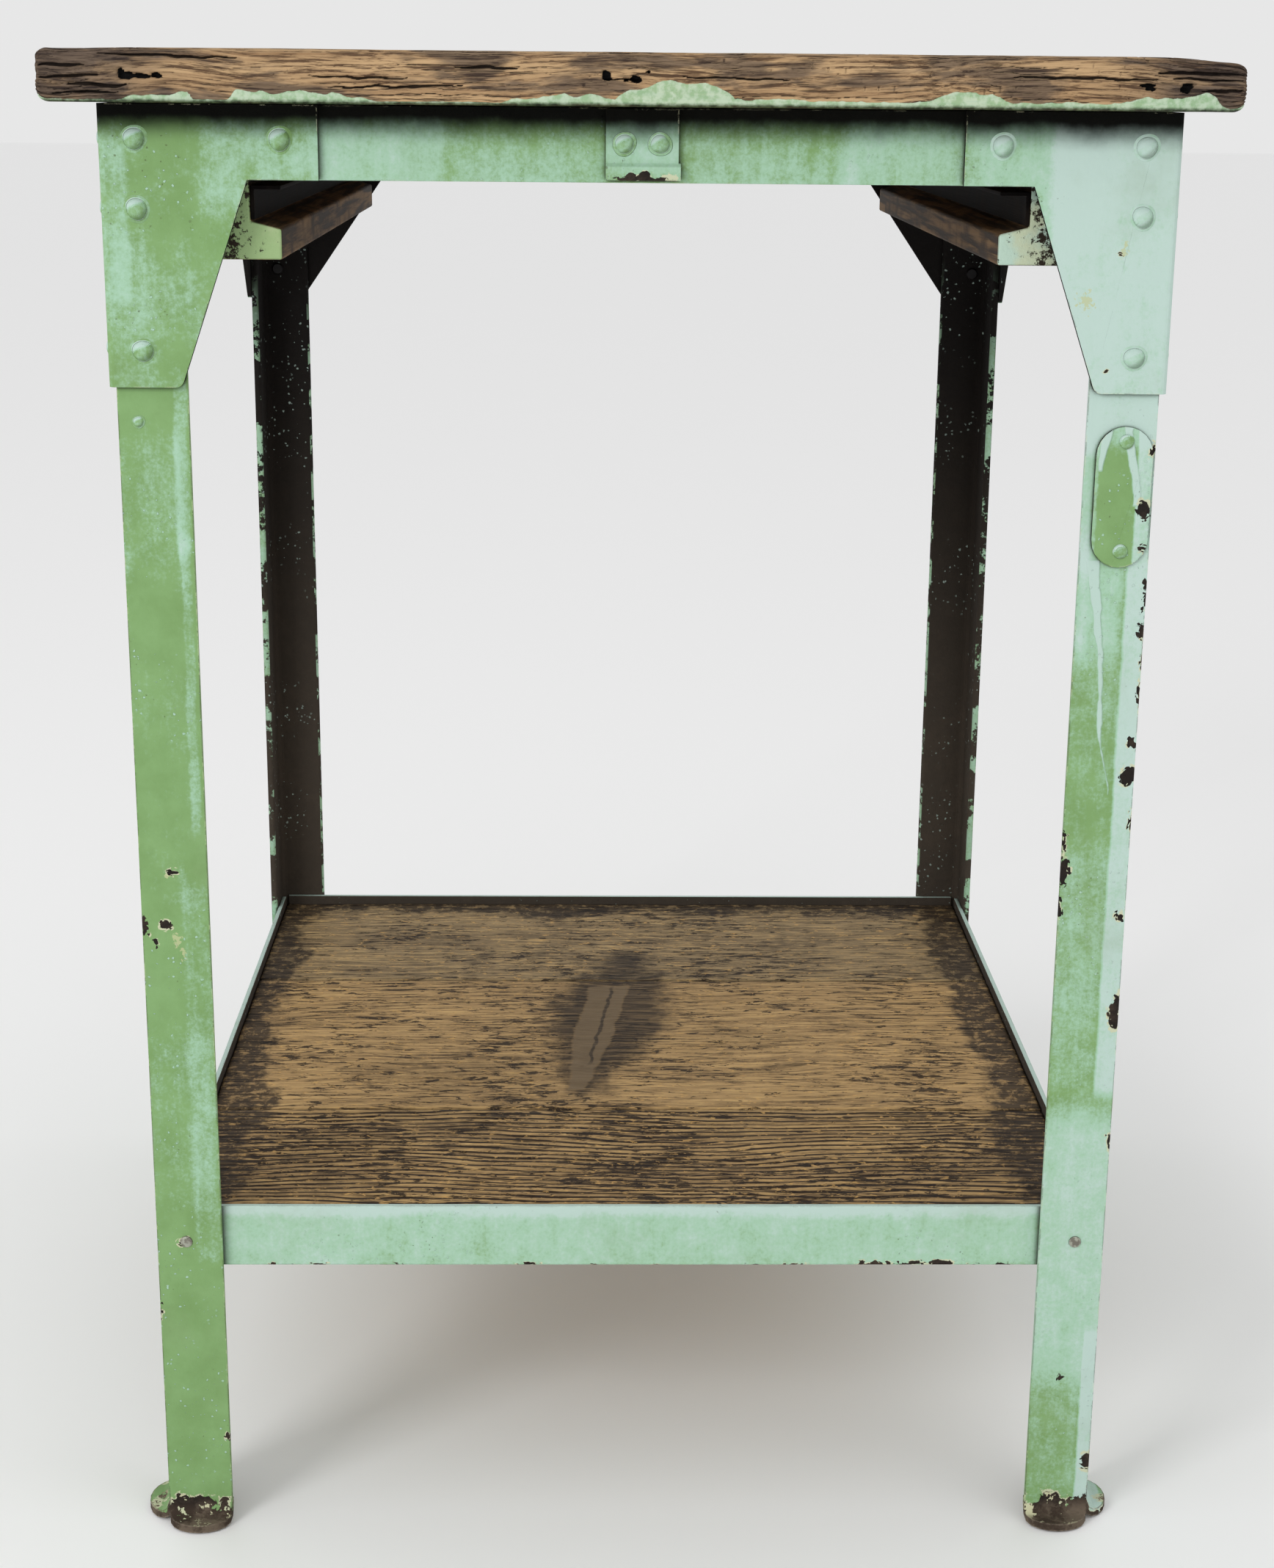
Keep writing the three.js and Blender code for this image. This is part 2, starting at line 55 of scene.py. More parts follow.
# Places read from the frame.
FIT_GAP = 0.3 * MM
LEG_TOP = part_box("leg_front_right")[1].z
FRONT_RAIL_LOW, FRONT_RAIL_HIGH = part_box("top_rail_front")
SIDE_RAIL_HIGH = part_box("top_rail_right")[1]
HALF_DEPTH = -FRONT_RAIL_LOW.y
HALF_WIDTH = SIDE_RAIL_HIGH.x
LEG_THICK = HALF_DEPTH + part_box("shelf_rail_front")[0].y - FIT_GAP
LEG_INNER_X = HALF_WIDTH - LEG_THICK
LEG_INNER_Y = HALF_DEPTH - LEG_THICK
LEG_TOE_X = FRONT_RAIL_HIGH.x + FIT_GAP
LEG_TOE_Y = SIDE_RAIL_HIGH.y + FIT_GAP
SHELF_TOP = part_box("shelf_board_middle")[1].z


# ---------------------------------------------------------------- colour and node helpers


def srgb(red, green, blue):
    """A linear RGBA colour from the usual 0 to 255 values."""

    def linear(value):
        value /= 255
        return value / 12.92 if value <= 0.04045 else ((value + 0.055) / 1.055) ** 2.4

    return linear(red), linear(green), linear(blue), 1.0


GREEN = srgb(131, 168, 111)
DEEP_GREEN = srgb(118, 153, 95)
MINT = srgb(161, 198, 171)
PALE = srgb(185, 208, 199)
PRIMER = srgb(200, 202, 170)
STEEL_DARK = srgb(36, 31, 28)
STEEL_RUST = srgb(62, 52, 44)
# Near-black: real soot on bare steel, and also the painted shade inside the drawer bay.
SOOT_AND_SHADE = srgb(16, 14, 14)

# The heights between which the paint under the worktop is painted black as the shadow of its overhang.
UNDER_TOP_SHADOW_LOW = LEG_TOP - 21 * MM
UNDER_TOP_SHADOW_HIGH = LEG_TOP - 5 * MM


class Graph:
    """One material's node tree, built a step at a time from numbers and the outputs of other steps."""

    def __init__(self, name):
        self.material = bpy.data.materials.new(name)
        self.material.use_nodes = True
        self.nodes = self.material.node_tree.nodes
        self.links = self.material.node_tree.links
        self.surface = self.nodes["Principled BSDF"]
        self.place = self.nodes.new("ShaderNodeTexCoord").outputs["Object"]
        self.x, self.y, self.z = self.split(self.place)

    def plug(self, value, socket):
        if isinstance(value, bpy.types.NodeSocket):
            self.links.new(value, socket)
        elif value is not None:
            socket.default_value = value

    def split(self, vector):
        node = self.nodes.new("ShaderNodeSeparateXYZ")
        self.plug(vector, node.inputs[0])
        return node.outputs[:]

    def maths(self, operation, first, second=None, clamp=False):
        node = self.nodes.new("ShaderNodeMath")
        node.operation = operation
        node.use_clamp = clamp
        self.plug(first, node.inputs[0])
        self.plug(second, node.inputs[1])
        return node.outputs[0]

    def total(self, *values, clamp=False):
        result = values[0]
        for value in values[1:]:
            result = self.maths("ADD", result, value, clamp)
        return result

    def product(self, *values):
        result = values[0]
        for value in values[1:]:
            result = self.maths("MULTIPLY", result, value)
        return result

    def highest(self, *values):
        result = values[0]
        for value in values[1:]:
            result = self.maths("MAXIMUM", result, value)
        return result

    def less(self, first, second):
        return self.maths("SUBTRACT", first, second)

    def swing(self, value, reach):
        """reach times how far value lies above or below one half."""
        return self.product(self.less(value, 0.5), reach)

    def absolute(self, value):
        return self.maths("ABSOLUTE", value)

    def without(self, mask):
        return self.maths("SUBTRACT", 1.0, mask, clamp=True)

    def ramp(self, value, low, high, start=0.0, end=1.0):
        """Turns value smoothly from start, at low, to end, at high."""
        node = self.nodes.new("ShaderNodeMapRange")
        node.interpolation_type = "SMOOTHSTEP"
        names = ("Value", "From Min", "From Max", "To Min", "To Max")
        for name, given in zip(names, (value, low, high, start, end)):
            self.plug(given, node.inputs[name])
        return node.outputs[0]

    def band(self, value, low, high, soft):
        """1 between low and high, and 0 a soft width outside them."""
        rise = self.ramp(value, low - soft, low)
        fall = self.ramp(value, high, high + soft, 1.0, 0.0)
        return self.product(rise, fall)

    def blend(self, share, first, second):
        node = self.nodes.new("ShaderNodeMix")
        node.data_type = "RGBA"
        self.plug(share, node.inputs[0])
        self.plug(first, node.inputs[6])
        self.plug(second, node.inputs[7])
        return node.outputs[2]

    def vector(self, operation, first, second):
        node = self.nodes.new("ShaderNodeVectorMath")
        node.operation = operation
        self.plug(first, node.inputs[0])
        self.plug(second, node.inputs[1])
        return node.outputs["Value" if operation in ("LENGTH", "DOT_PRODUCT") else "Vector"]

    def noise(self, scale, detail=4.0, roughness=0.55, distortion=0.0, place=None, colour=False):
        node = self.nodes.new("ShaderNodeTexNoise")
        self.plug(self.place if place is None else place, node.inputs["Vector"])
        names = ("Scale", "Detail", "Roughness", "Distortion")
        for name, value in zip(names, (scale, detail, roughness, distortion)):
            node.inputs[name].default_value = value
        return node.outputs["Color" if colour else 0]

    def streaks(self, scales, detail, roughness, distortion=0.0, place=None):
        """Noise with its own scale along each axis."""
        stretched = self.vector("MULTIPLY", self.place if place is None else place, scales)
        return self.noise(1.0, detail, roughness, distortion, stretched)

    def cells(self, scale, place=None, output="Distance"):
        node = self.nodes.new("ShaderNodeTexVoronoi")
        self.plug(self.place if place is None else place, node.inputs["Vector"])
        node.inputs["Scale"].default_value = scale
        return node.outputs[output]

    def pushed(self, place, colour, reach):
        """place, moved along each axis by up to half of reach, as a random colour says."""
        shift = self.vector("SUBTRACT", colour, (0.5, 0.5, 0.5))
        return self.vector("ADD", place, self.vector("MULTIPLY", shift, (reach, reach, reach)))

    def ragged(self, scale, reach):
        """The place, pushed about by noise, so that masks made from it get ragged edges."""
        return self.pushed(self.place, self.noise(scale, 3.0, colour=True), reach)

    def normal(self):
        return self.split(self.nodes.new("ShaderNodeNewGeometry").outputs["True Normal"])

    def attribute(self, name):
        node = self.nodes.new("ShaderNodeAttribute")
        node.attribute_name = name
        return node.outputs["Fac"]

    def edges(self, radius):
        """0 on flat faces, rising to 1 at sharp edges within the radius."""
        bevel = self.nodes.new("ShaderNodeBevel")
        bevel.samples = 6
        bevel.inputs["Radius"].default_value = radius
        flat = self.nodes.new("ShaderNodeNewGeometry").outputs["Normal"]
        return self.ramp(self.vector("DOT_PRODUCT", bevel.outputs[0], flat), 0.995, 0.75)

    def crevices(self, distance):
        """0 in the open, rising to 1 in corners and beside whatever stands proud."""
        node = self.nodes.new("ShaderNodeAmbientOcclusion")
        node.samples = 8
        node.inputs["Distance"].default_value = distance
        return self.maths("SUBTRACT", 1.0, node.outputs["AO"], clamp=True)

    def relief(self, height, depth, normal=None):
        """Bump that raises the surface by depth where height is 1."""
        node = self.nodes.new("ShaderNodeBump")
        node.inputs["Distance"].default_value = depth
        self.plug(height, node.inputs["Height"])
        self.plug(normal, node.inputs["Normal"])
        return node.outputs[0]

    def finish(self, colour, roughness, normal, metallic=0.0, specular=0.18):
        self.plug(colour, self.surface.inputs["Base Color"])
        self.plug(roughness, self.surface.inputs["Roughness"])
        self.plug(normal, self.surface.inputs["Normal"])
        self.plug(metallic, self.surface.inputs["Metallic"])
        self.surface.inputs["Specular IOR Level"].default_value = specular
        return self.material


def shards(graph, scale, reach):
    """The place, pushed about in straight-edged cells, so that masks made from it look broken."""
    loose = graph.ragged(90.0, 5 * MM)
    return graph.pushed(loose, graph.cells(scale, loose, "Color"), reach)


def spots(graph, around, places):
    """A few spots on the bench's front: 1 at a spot's middle, falling to 0 at its edge and below 0 outside.

    Each place is (x, z, half width, half height) in millimetres."""
    found = -1.0
    for x, z, half_width, half_height in places:
        offset = graph.vector("SUBTRACT", around, (x * MM, -HALF_DEPTH, z * MM))
        reach = (1 / (half_width * MM), 1 / (40 * MM), 1 / (half_height * MM))
        distance = graph.vector("LENGTH", graph.vector("MULTIPLY", offset, reach), None)
        found = graph.highest(found, graph.less(1.0, distance))
    return found


# ---------------------------------------------------------------- painted steel


def bare_steel(graph):
    """Dark, uneven steel: soot and dried grease over old rust."""
    stain = graph.noise(60.0, 6.0, 0.7)
    fine = graph.noise(700.0, 4.0, 0.6)
    colour = graph.blend(graph.ramp(stain, 0.42, 0.66), STEEL_DARK, STEEL_RUST)
    return graph.blend(graph.product(graph.ramp(fine, 0.5, 0.75), 0.5), colour, SOOT_AND_SHADE)


def inward_faces(graph):
    """1 on the faces that look towards the middle of the bench."""
    normal_x, normal_y, _ = graph.normal()
    toward_x = graph.product(normal_x, graph.maths("SIGN", graph.x))
    toward_y = graph.product(normal_y, graph.maths("SIGN", graph.y))
    return graph.ramp(graph.maths("MINIMUM", toward_x, toward_y), -0.4, -0.6)


def leg_insides(graph):
    """1 on the inner faces of a leg's flanges."""
    across = graph.less(graph.absolute(graph.x), LEG_INNER_X)
    along = graph.less(graph.absolute(graph.y), LEG_INNER_Y)
    return graph.ramp(graph.highest(across, along), 0.5 * MM, 0.2 * MM)


def rear_leg_insides(graph):
    """The inner faces of a rear leg, with most of the paint gone from its toes as well."""
    toe_x = graph.less(graph.absolute(graph.x), LEG_TOE_X)
    toe_y = graph.less(graph.absolute(graph.y), LEG_TOE_Y)
    on_toe = graph.ramp(graph.maths("MINIMUM", toe_x, toe_y), 3.6 * MM, 2.6 * MM)
    flaked = graph.ramp(graph.noise(38.0, 5.0, 0.7), 0.46, 0.5)
    high = graph.ramp(graph.z, 0.6, 0.72)
    return graph.highest(leg_insides(graph), graph.product(on_toe, graph.highest(flaked, high)))


def coat_share(graph, pale, patches):
    """How much of the pale coat lies over the green, from 0 to 1, with soft, cloudy edges."""
    cloud = graph.noise(24.0, 6.0, 0.6, 0.5)
    mottle = graph.noise(95.0, 5.0, 0.68, 0.3)
    speckle = graph.noise(420.0, 3.0, 0.7)
    streaks = graph.streaks((170.0, 170.0, 13.0), 4.0, 0.6, 0.3)
    wander_x, _, wander_z = graph.split(graph.ragged(30.0, 9 * MM))
    sideways = graph.less(wander_x, graph.x)
    bias = pale
    for strength, soft, (low_x, high_x), (low_z, high_z) in patches:
        # A soft patch wanders more than a crisp one.
        around_x = graph.total(graph.x, graph.product(sideways, min(1.0, soft / 8)))
        inside_x = graph.band(around_x, low_x * MM, high_x * MM, soft * MM)
        inside_z = graph.band(wander_z, low_z * MM, high_z * MM, (6 + 2 * soft) * MM)
        bias = graph.total(bias, graph.product(inside_x, inside_z, strength))
    unevenness = graph.total(
        graph.swing(cloud, 0.62),
        graph.swing(mottle, 0.62),
        graph.swing(speckle, 0.7),
        graph.swing(streaks, 0.42),
    )
    return graph.total(bias, unevenness, clamp=True), mottle


def flecks_of(graph, scale, share, channel):
    """Small ragged flecks in clusters. share is how many of the cells hold one."""
    around = graph.ragged(500.0, 2.2 * MM)
    random_size = graph.split(graph.cells(scale, around, "Color"))[channel]
    reach = graph.product(graph.ramp(random_size, 1.0 - share, 1.0), 0.36)
    fleck = graph.ramp(graph.less(graph.cells(scale, around), reach), 0.02, -0.08)
    return graph.product(fleck, graph.ramp(graph.noise(15.0, 3.0), 0.45, 0.6))


def runs_of(graph, drips):
    """1 along each pale run of paint.

    Each run is (top x, top z, bottom x, bottom z, top half width, bottom half width) in millimetres."""
    wobble_x, _, _ = graph.split(graph.ragged(38.0, 5 * MM))
    swelling = graph.swing(graph.noise(90.0, 3.0), 2.6 * MM)
    runs = 0.0
    for top_x, top, bottom_x, bottom, top_width, bottom_width in drips:
        line = graph.ramp(graph.z, bottom * MM, top * MM, bottom_x * MM, top_x * MM)
        width = graph.ramp(graph.z, bottom * MM, top * MM, bottom_width * MM, top_width * MM)
        away = graph.absolute(graph.less(wobble_x, line))
        beyond = graph.total(graph.less(away, width), swelling)
        inside = graph.band(graph.z, bottom * MM, top * MM, 2 * MM)
        runs = graph.highest(runs, graph.product(graph.ramp(beyond, 0.8 * MM, -0.5 * MM), inside))
    return runs


def coat_colour(graph, tone, share):
    """The two coats' colour: darker and lighter green by tone, and paler as the pale coat's share grows."""
    green = graph.blend(tone, DEEP_GREEN, GREEN)
    coat = graph.blend(graph.ramp(share, 0.0, 0.55), green, MINT)
    return graph.blend(graph.ramp(share, 0.45, 1.0), coat, PALE)


def painted(
    name, patches=(), pale=0.25, chips=(), insides=inward_faces, wear=1.0, worn_below=0.0, drips=(), scuffs=()
):
    """Apple green paint with a paler coat washed over it, chipped to primer and steel along its edges.

    patches lists where the pale coat lies, as (strength, softness, (low x, high x), (low z, high z)) in
    millimetres, and pale is its share elsewhere. chips show steel and scuffs show primer, both as spots
    takes them. drips are as runs_of takes them. A part with feet is worn bare up to about worn_below."""
    graph = Graph(name)
    share, mottle = coat_share(graph, pale, patches)
    flecks = flecks_of(graph, 430.0, 0.36, 0)
    share = graph.highest(share, graph.product(flecks, 0.62))
    runs = runs_of(graph, drips)
    share = graph.highest(share, graph.product(runs, 0.9))

    tone = graph.noise(45.0, 5.0, 0.6)
    coat = coat_colour(graph, graph.ramp(tone, 0.2, 0.8), share)
    stain = graph.ramp(graph.noise(11.0, 5.0, 0.7), 0.5, 0.8)
    coat = graph.blend(graph.product(stain, 0.3), coat, srgb(126, 146, 104))
    specks = flecks_of(graph, 520.0, 0.12, 1)
    coat = graph.blend(graph.product(specks, 0.6), coat, srgb(78, 84, 52))

    # Painted shade with grime in the corners, and painted shadow under the worktop.
    shade = graph.crevices(6 * MM)
    coat = graph.blend(graph.ramp(shade, 0.2, 0.56, 0.0, 0.85), coat, srgb(48, 48, 30))
    # Painted shadow: the paint turns near-black up under the worktop's overhang.
    rise = graph.total(graph.z, graph.swing(tone, 9 * MM))
    under_top_shadow = graph.ramp(rise, UNDER_TOP_SHADOW_LOW, UNDER_TOP_SHADOW_HIGH)
    coat = graph.blend(under_top_shadow, coat, srgb(4, 5, 2))

    # Chips: broken edges, a few placed ones, and bare metal low on the feet.
    around = shards(graph, 420.0, 2.6 * MM)
    edge = graph.edges(2.0 * MM)
    breakage = graph.noise(60.0, 4.0, 0.6, 0.0, around)
    crumble = graph.noise(420.0, 4.0, 0.6)
    bite = graph.total(graph.product(edge, 0.36), graph.product(breakage, 0.82), graph.product(crumble, 0.1))
    bite = graph.product(bite, wear)
    if worn_below > 0:
        _, _, near_floor = graph.split(around)
        patchy = graph.swing(graph.noise(70.0, 4.0, 0.6), 30 * MM)
        low = graph.ramp(graph.total(near_floor, patchy), worn_below * 2 * MM, worn_below * 0.4 * MM)
        side_foot = graph.ramp(graph.absolute(graph.x), HALF_WIDTH + 1 * MM, HALF_WIDTH + 3 * MM)
        kept = graph.product(side_foot, graph.ramp(graph.z, 2 * MM, 7 * MM), 0.62)
        bite = graph.total(bite, graph.product(low, 0.5, graph.without(kept)))
    chip = graph.ramp(bite, 0.80, 0.81)
    rim = graph.ramp(bite, 0.745, 0.755)
    if chips:
        near = spots(graph, around, chips)
        chip = graph.highest(chip, graph.ramp(near, 0.0, 0.06))
        rim = graph.highest(rim, graph.ramp(near, -0.3, -0.25))
    rim = graph.product(rim, graph.ramp(graph.noise(55.0, 2.0), 0.47, 0.5))
    coat = graph.blend(graph.product(rim, 0.9), coat, PRIMER)
    if scuffs:
        worn = graph.total(spots(graph, around, scuffs), graph.swing(crumble, 3.0))
        coat = graph.blend(graph.ramp(worn, 0.22, 0.34, 0.0, 0.75), coat, srgb(186, 192, 146))
    steel = bare_steel(graph)
    if worn_below > 0:
        # The feet keep scabs of primer, and their lower lips are rubbed to brighter metal.
        scab = graph.total(graph.noise(75.0, 3.0, 0.6, 0.0, around), graph.product(crumble, 0.1))
        scab = graph.product(graph.ramp(scab, 0.60, 0.61), graph.band(graph.z, 6 * MM, 17 * MM, 2 * MM))
        lip = graph.product(graph.ramp(edge, 0.15, 0.6), graph.ramp(graph.z, 7 * MM, 2 * MM))
        low_steel = graph.blend(graph.ramp(breakage, 0.4, 0.6), srgb(66, 54, 45), srgb(112, 99, 85))
        steel = graph.blend(graph.ramp(graph.z, 15 * MM, 6 * MM, 0.0, 0.8), steel, low_steel)
        steel = graph.blend(graph.product(lip, graph.ramp(crumble, 0.35, 0.6)), steel, srgb(150, 138, 122))
        steel = graph.blend(scab, steel, srgb(198, 196, 162))
    colour = graph.blend(chip, coat, steel)

    # Paint spatter on the bare inside faces, whose dark steel is painted blackest up in the drawer bay as the
    # shade under the worktop.
    inside = insides(graph)
    spatter = flecks_of(graph, 330.0, 0.3, 1)
    black = graph.ramp(graph.z, 0.25, 0.7, 0.25, 0.97)
    bare = graph.blend(black, graph.blend(0.6, steel, srgb(94, 85, 74)), SOOT_AND_SHADE)
    bare = graph.blend(graph.product(spatter, 0.6), bare, PALE)
    colour = graph.blend(inside, colour, bare)

    gone = graph.highest(chip, inside)
    dull = graph.highest(gone, under_top_shadow)
    roughness = graph.total(graph.product(mottle, 0.2), 0.36, graph.product(dull, 0.45))
    brush = graph.streaks((420.0, 420.0, 60.0), 4.0, 0.6, 0.2)
    dents = graph.noise(34.0, 3.0, 0.5)
    blister = graph.ramp(graph.cells(75.0), 0.3, 0.05)
    blister = graph.product(blister, graph.ramp(graph.noise(31.0, 2.0), 0.5, 0.62))
    height = graph.total(
        graph.product(dents, 1.6),
        graph.product(mottle, 0.45),
        graph.product(brush, 0.14),
        graph.product(share, 0.2),
        graph.product(flecks, 0.4),
        graph.product(blister, 0.55),
        graph.product(runs, 0.7),
    )
    normal = graph.relief(height, 0.6 * MM)
    normal = graph.relief(graph.without(gone), 0.4 * MM, normal)
    normal = graph.relief(graph.product(crumble, gone), 0.3 * MM, normal)
    return graph.finish(colour, roughness, normal, 0.0)


def painted_heads(name, pale):
    """Unbroken paint over a rivet's dome, with a pale painted highlight on its upper left where it faces the
    light, and painted shade below it and round its rim.
    """
    graph = Graph(name)
    share, mottle = coat_share(graph, pale, ())
    normal_x, _, normal_z = graph.normal()
    # Painted highlight where the dome faces the light, and painted shade where it faces away.
    upper = graph.total(graph.product(normal_z, 0.8), graph.product(normal_x, -0.45))
    pale_highlight = graph.ramp(upper, 0.12, 0.45)
    share = graph.total(share, graph.product(pale_highlight, 0.8), clamp=True)
    coat = coat_colour(graph, graph.ramp(mottle, 0.35, 0.65), share)
    shade = graph.crevices(3 * MM)
    under = graph.ramp(upper, -0.1, -0.55, 0.0, 0.42)
    shade = graph.total(graph.ramp(shade, 0.2, 0.55, 0.0, 0.8), under, clamp=True)
    coat = graph.blend(shade, coat, srgb(64, 76, 46))
    coat = graph.blend(leg_insides(graph), coat, SOOT_AND_SHADE)
    normal = graph.relief(mottle, 0.35 * MM)
    return graph.finish(coat, graph.total(graph.product(mottle, 0.2), 0.32), normal, 0.0)


def soften(node, width, material, segments=2):
    """Gives a CAD node its material and slightly rounded edges."""
    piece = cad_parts[node]
    piece.data.materials.clear()
    piece.data.materials.append(material)
    weld = piece.modifiers.new("weld", "WELD")
    weld.merge_threshold = 0.02 * MM
    bevel = piece.modifiers.new("soft edges", "BEVEL")
    bevel.width = width
    bevel.segments = segments
    bevel.limit_method = "ANGLE"
    bevel.angle_limit = math.radians(35)
    bevel.harden_normals = False
    bevel.use_clamp_overlap = True
    for polygon in piece.data.polygons:
        polygon.use_smooth = False
    return piece


# Chips in the legs' paint: (x, z, half width, half height) in millimetres.
LEFT_LEG_CHIPS = [
    (-260.5, 413.5, 3.2, 1.8), (-278.5, 381, 2.2, 6), (-266.5, 382, 4.0, 2.6),
    (-271.5, 371, 1.6, 1.6), (-281, 141, 2.6, 7), (-242.5, 57, 2, 2.4),
    (-263.6, 185.4, 3.0, 2.0),
]
RIGHT_LEG_CHIPS = [
    (274.2, 622.4, 3.9, 5.8), (277.8, 656, 1.7, 3.2), (278.7, 582, 1.5, 3),
    (279.1, 572, 1.1, 6), (278.4, 556, 1.9, 4.4), (279.2, 543, 1.0, 9),
    (279.2, 519, 1.2, 8), (277.4, 492, 1.9, 3.4), (275.6, 472, 4.4, 5.2),
    (279.2, 446, 1.0, 7), (276.8, 389, 2.2, 3), (241.4, 434, 1.5, 6),
    (242.6, 416, 3.0, 9), (241, 395, 1.7, 8), (277.5, 331, 3.4, 11),
    (278.5, 250, 1.8, 5), (258, 96, 1.8, 2), (277.2, 40, 4.6, 5.5),
]

# Chips along the front shelf rail's lower edge, in the same form.
SHELF_RAIL_CHIPS = [
    (-214, 168, 5, 1.3), (-203, 168, 4, 0.9), (-186, 168, 6, 0.6), (-138, 168, 5, 0.5),
    (-62, 168, 7, 0.6), (-20, 168, 4, 0.5), (14, 168, 3, 0.8), (70, 168, 5, 0.6),
    (96, 168, 7, 0.8), (137, 168.4, 4, 1.6), (147, 168, 7, 2.0), (166, 168.4, 10, 1.5),
    (184, 168.6, 7, 2.6), (203, 168, 4, 0.8), (221, 168, 4, 1.6), (258, 168, 3, 1.0),
]


def leg_paint():
    left = painted(
        "paint_leg_left",
        [
            (0.34, 3, (-248.5, -243.5), (600, 700)),
            (0.3, 2.5, (-248, -244.5), (440, 600)),
            (0.26, 12, (-285, -252), (590, 650)),
            (0.1, 14, (-285, -252), (400, 520)),
            (0.22, 5, (-254, -243), (180, 400)),
            (0.22, 12, (-276, -250), (215, 300)),
        ],
        pale=-0.13,
        chips=LEFT_LEG_CHIPS,
        insides=leg_insides,
        worn_below=15,
        scuffs=[(-260, 373, 2.6, 5.5), (-257, 366, 1.6, 5), (-263, 412, 1.6, 2.4)],
    )
    right = painted(
        "paint_leg_right",
        [
            (0.85, 8, (230, 295), (668, 700)),
            (0.75, 2.5, (269.5, 290), (285, 690)),
            (0.5, 5, (230, 244.5), (596, 690)),
            (0.3, 6, (230, 246), (545, 600)),
            (0.35, 7, (247, 262), (548, 590)),
            (0.14, 9, (244, 262), (300, 420)),
            (0.5, 12, (235, 295), (110, 250)),
            (0.8, 2, (272.5, 290), (0, 120)),
        ],
        pale=0.13,
        chips=RIGHT_LEG_CHIPS,
        insides=leg_insides,
        worn_below=14,
        drips=[
            (249.5, 594, 257, 530, 3.2, 0.9),
            (257, 532, 258, 500, 0.9, 1.0),
            (258, 501, 265, 462, 1.0, -0.1),
        ],
    )
    rear = painted("paint_legs_rear", pale=0.4, insides=rear_leg_insides, worn_below=15)
    return left, right, rear


def plate_paint():
    left = painted(
        "paint_plate_left",
        [
            (0.32, 6, (-290, -271), (735, 808)),
            (0.2, 8, (-276, -262), (690, 760)),
            (0.36, 10, (-226, -150), (786, 812)),
            (0.12, 10, (-262, -235), (690, 745)),
        ],
        pale=-0.02,
        wear=0.9,
    )
    right = painted(
        "paint_plate_right",
        [(0.62, 12, (222, 300), (600, 828)), (0.2, 12, (180, 235), (780, 815))],
        pale=0.34,
        chips=[(250.8, 697.5, 1.5, 1.2), (254, 758.4, 1.5, 1.2)],
        wear=0.9,
        scuffs=[(255.8, 763.5, 1.7, 5.4), (236.4, 734.5, 4.6, 5.6)],
    )
    rear = painted("paint_plates_rear", pale=0.35, wear=0.96)
    return left, right, rear


def dress_steel():
    leg_left, leg_right, leg_rear = leg_paint()
    plate_left, plate_right, plate_rear = plate_paint()
    apron = painted(
        "paint_apron",
        [
            (0.34, 10, (-168, -110), (790, 816)),
            (0.2, 8, (-95, -22), (792, 802)),
            (0.2, 8, (32, 110), (792, 802)),
            (0.3, 10, (110, 166), (790, 816)),
        ],
        pale=0.15,
        wear=0.92,
    )
    shelf_rails = painted(
        "paint_shelf_rails",
        [(0.1, 8, (-300, 300), (180, 196)), (0.5, 1, (-300, 300), (204.5, 208))],
        pale=0.46,
        chips=SHELF_RAIL_CHIPS,
        wear=1.02,
    )
    bracket = painted(
        "paint_bracket", [(0.3, 5, (-20, 20), (805, 822))], pale=0.16, chips=[(0, 796, 15, 2.2)], wear=0.95
    )
    tag = painted(
        "paint_tag",
        [
            (0.8, 2, (271, 285), (590, 668)),
            (0.6, 4, (240, 285), (664, 676)),
            (0.42, 2, (243, 248), (600, 668)),
        ],
        pale=-0.06,
        chips=[*RIGHT_LEG_CHIPS[:2], (275, 601, 2.2, 2.4)],
        wear=0.93,
        drips=[(264, 668, 271, 626, 2.2, 1.8), (253, 670, 249, 645, 3.2, 1.2)],
    )
    finishes = {"centre_bracket": bracket, "top_rail_front": apron, "top_rail_rear": apron}
    for side, leg, plate in (("left", leg_left, plate_left), ("right", leg_right, plate_right)):
        finishes[f"leg_front_{side}"] = leg
        finishes[f"leg_rear_{side}"] = leg_rear
        finishes[f"corner_plate_front_{side}"] = plate
        finishes[f"corner_plate_rear_{side}"] = plate_rear
        finishes[f"top_rail_{side}"] = plate_rear
    for side in ("front", "rear", "left", "right"):
        finishes[f"shelf_rail_{side}"] = shelf_rails
    for node, material in finishes.items():
        soften(node, 0.5 * MM, material)
    soften("tag_plate", 0.2 * MM, tag)
    green_heads = painted_heads("paint_heads_green", 0.2)
    pale_heads = painted_heads("paint_heads_pale", 0.75)
    bolts = bolt_steel()
    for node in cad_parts:
        if "bolt" in node:
            soften(node, 0.3 * MM, bolts)
        elif "rivet" in node:
            soften(node, 0.3 * MM, pale_heads if "front_right" in node else green_heads)
    return green_heads, pale_heads


def bolt_steel():
    """Bolt heads rubbed back to grey metal, with painted shade dark round their rims."""
    graph = Graph("bolt_steel")
    wear = graph.noise(300.0, 4.0, 0.6)
    colour = graph.blend(graph.ramp(wear, 0.4, 0.6), srgb(118, 114, 104), srgb(168, 170, 156))
    # Painted shade round the rims.
    rim = graph.ramp(graph.crevices(2 * MM), 0.2, 0.5)
    colour = graph.blend(rim, colour, srgb(40, 36, 28))
    roughness = graph.total(graph.product(wear, 0.3), 0.35)
    return graph.finish(colour, roughness, graph.relief(wear, 0.25 * MM), 0.35)


# ---------------------------------------------------------------- timber


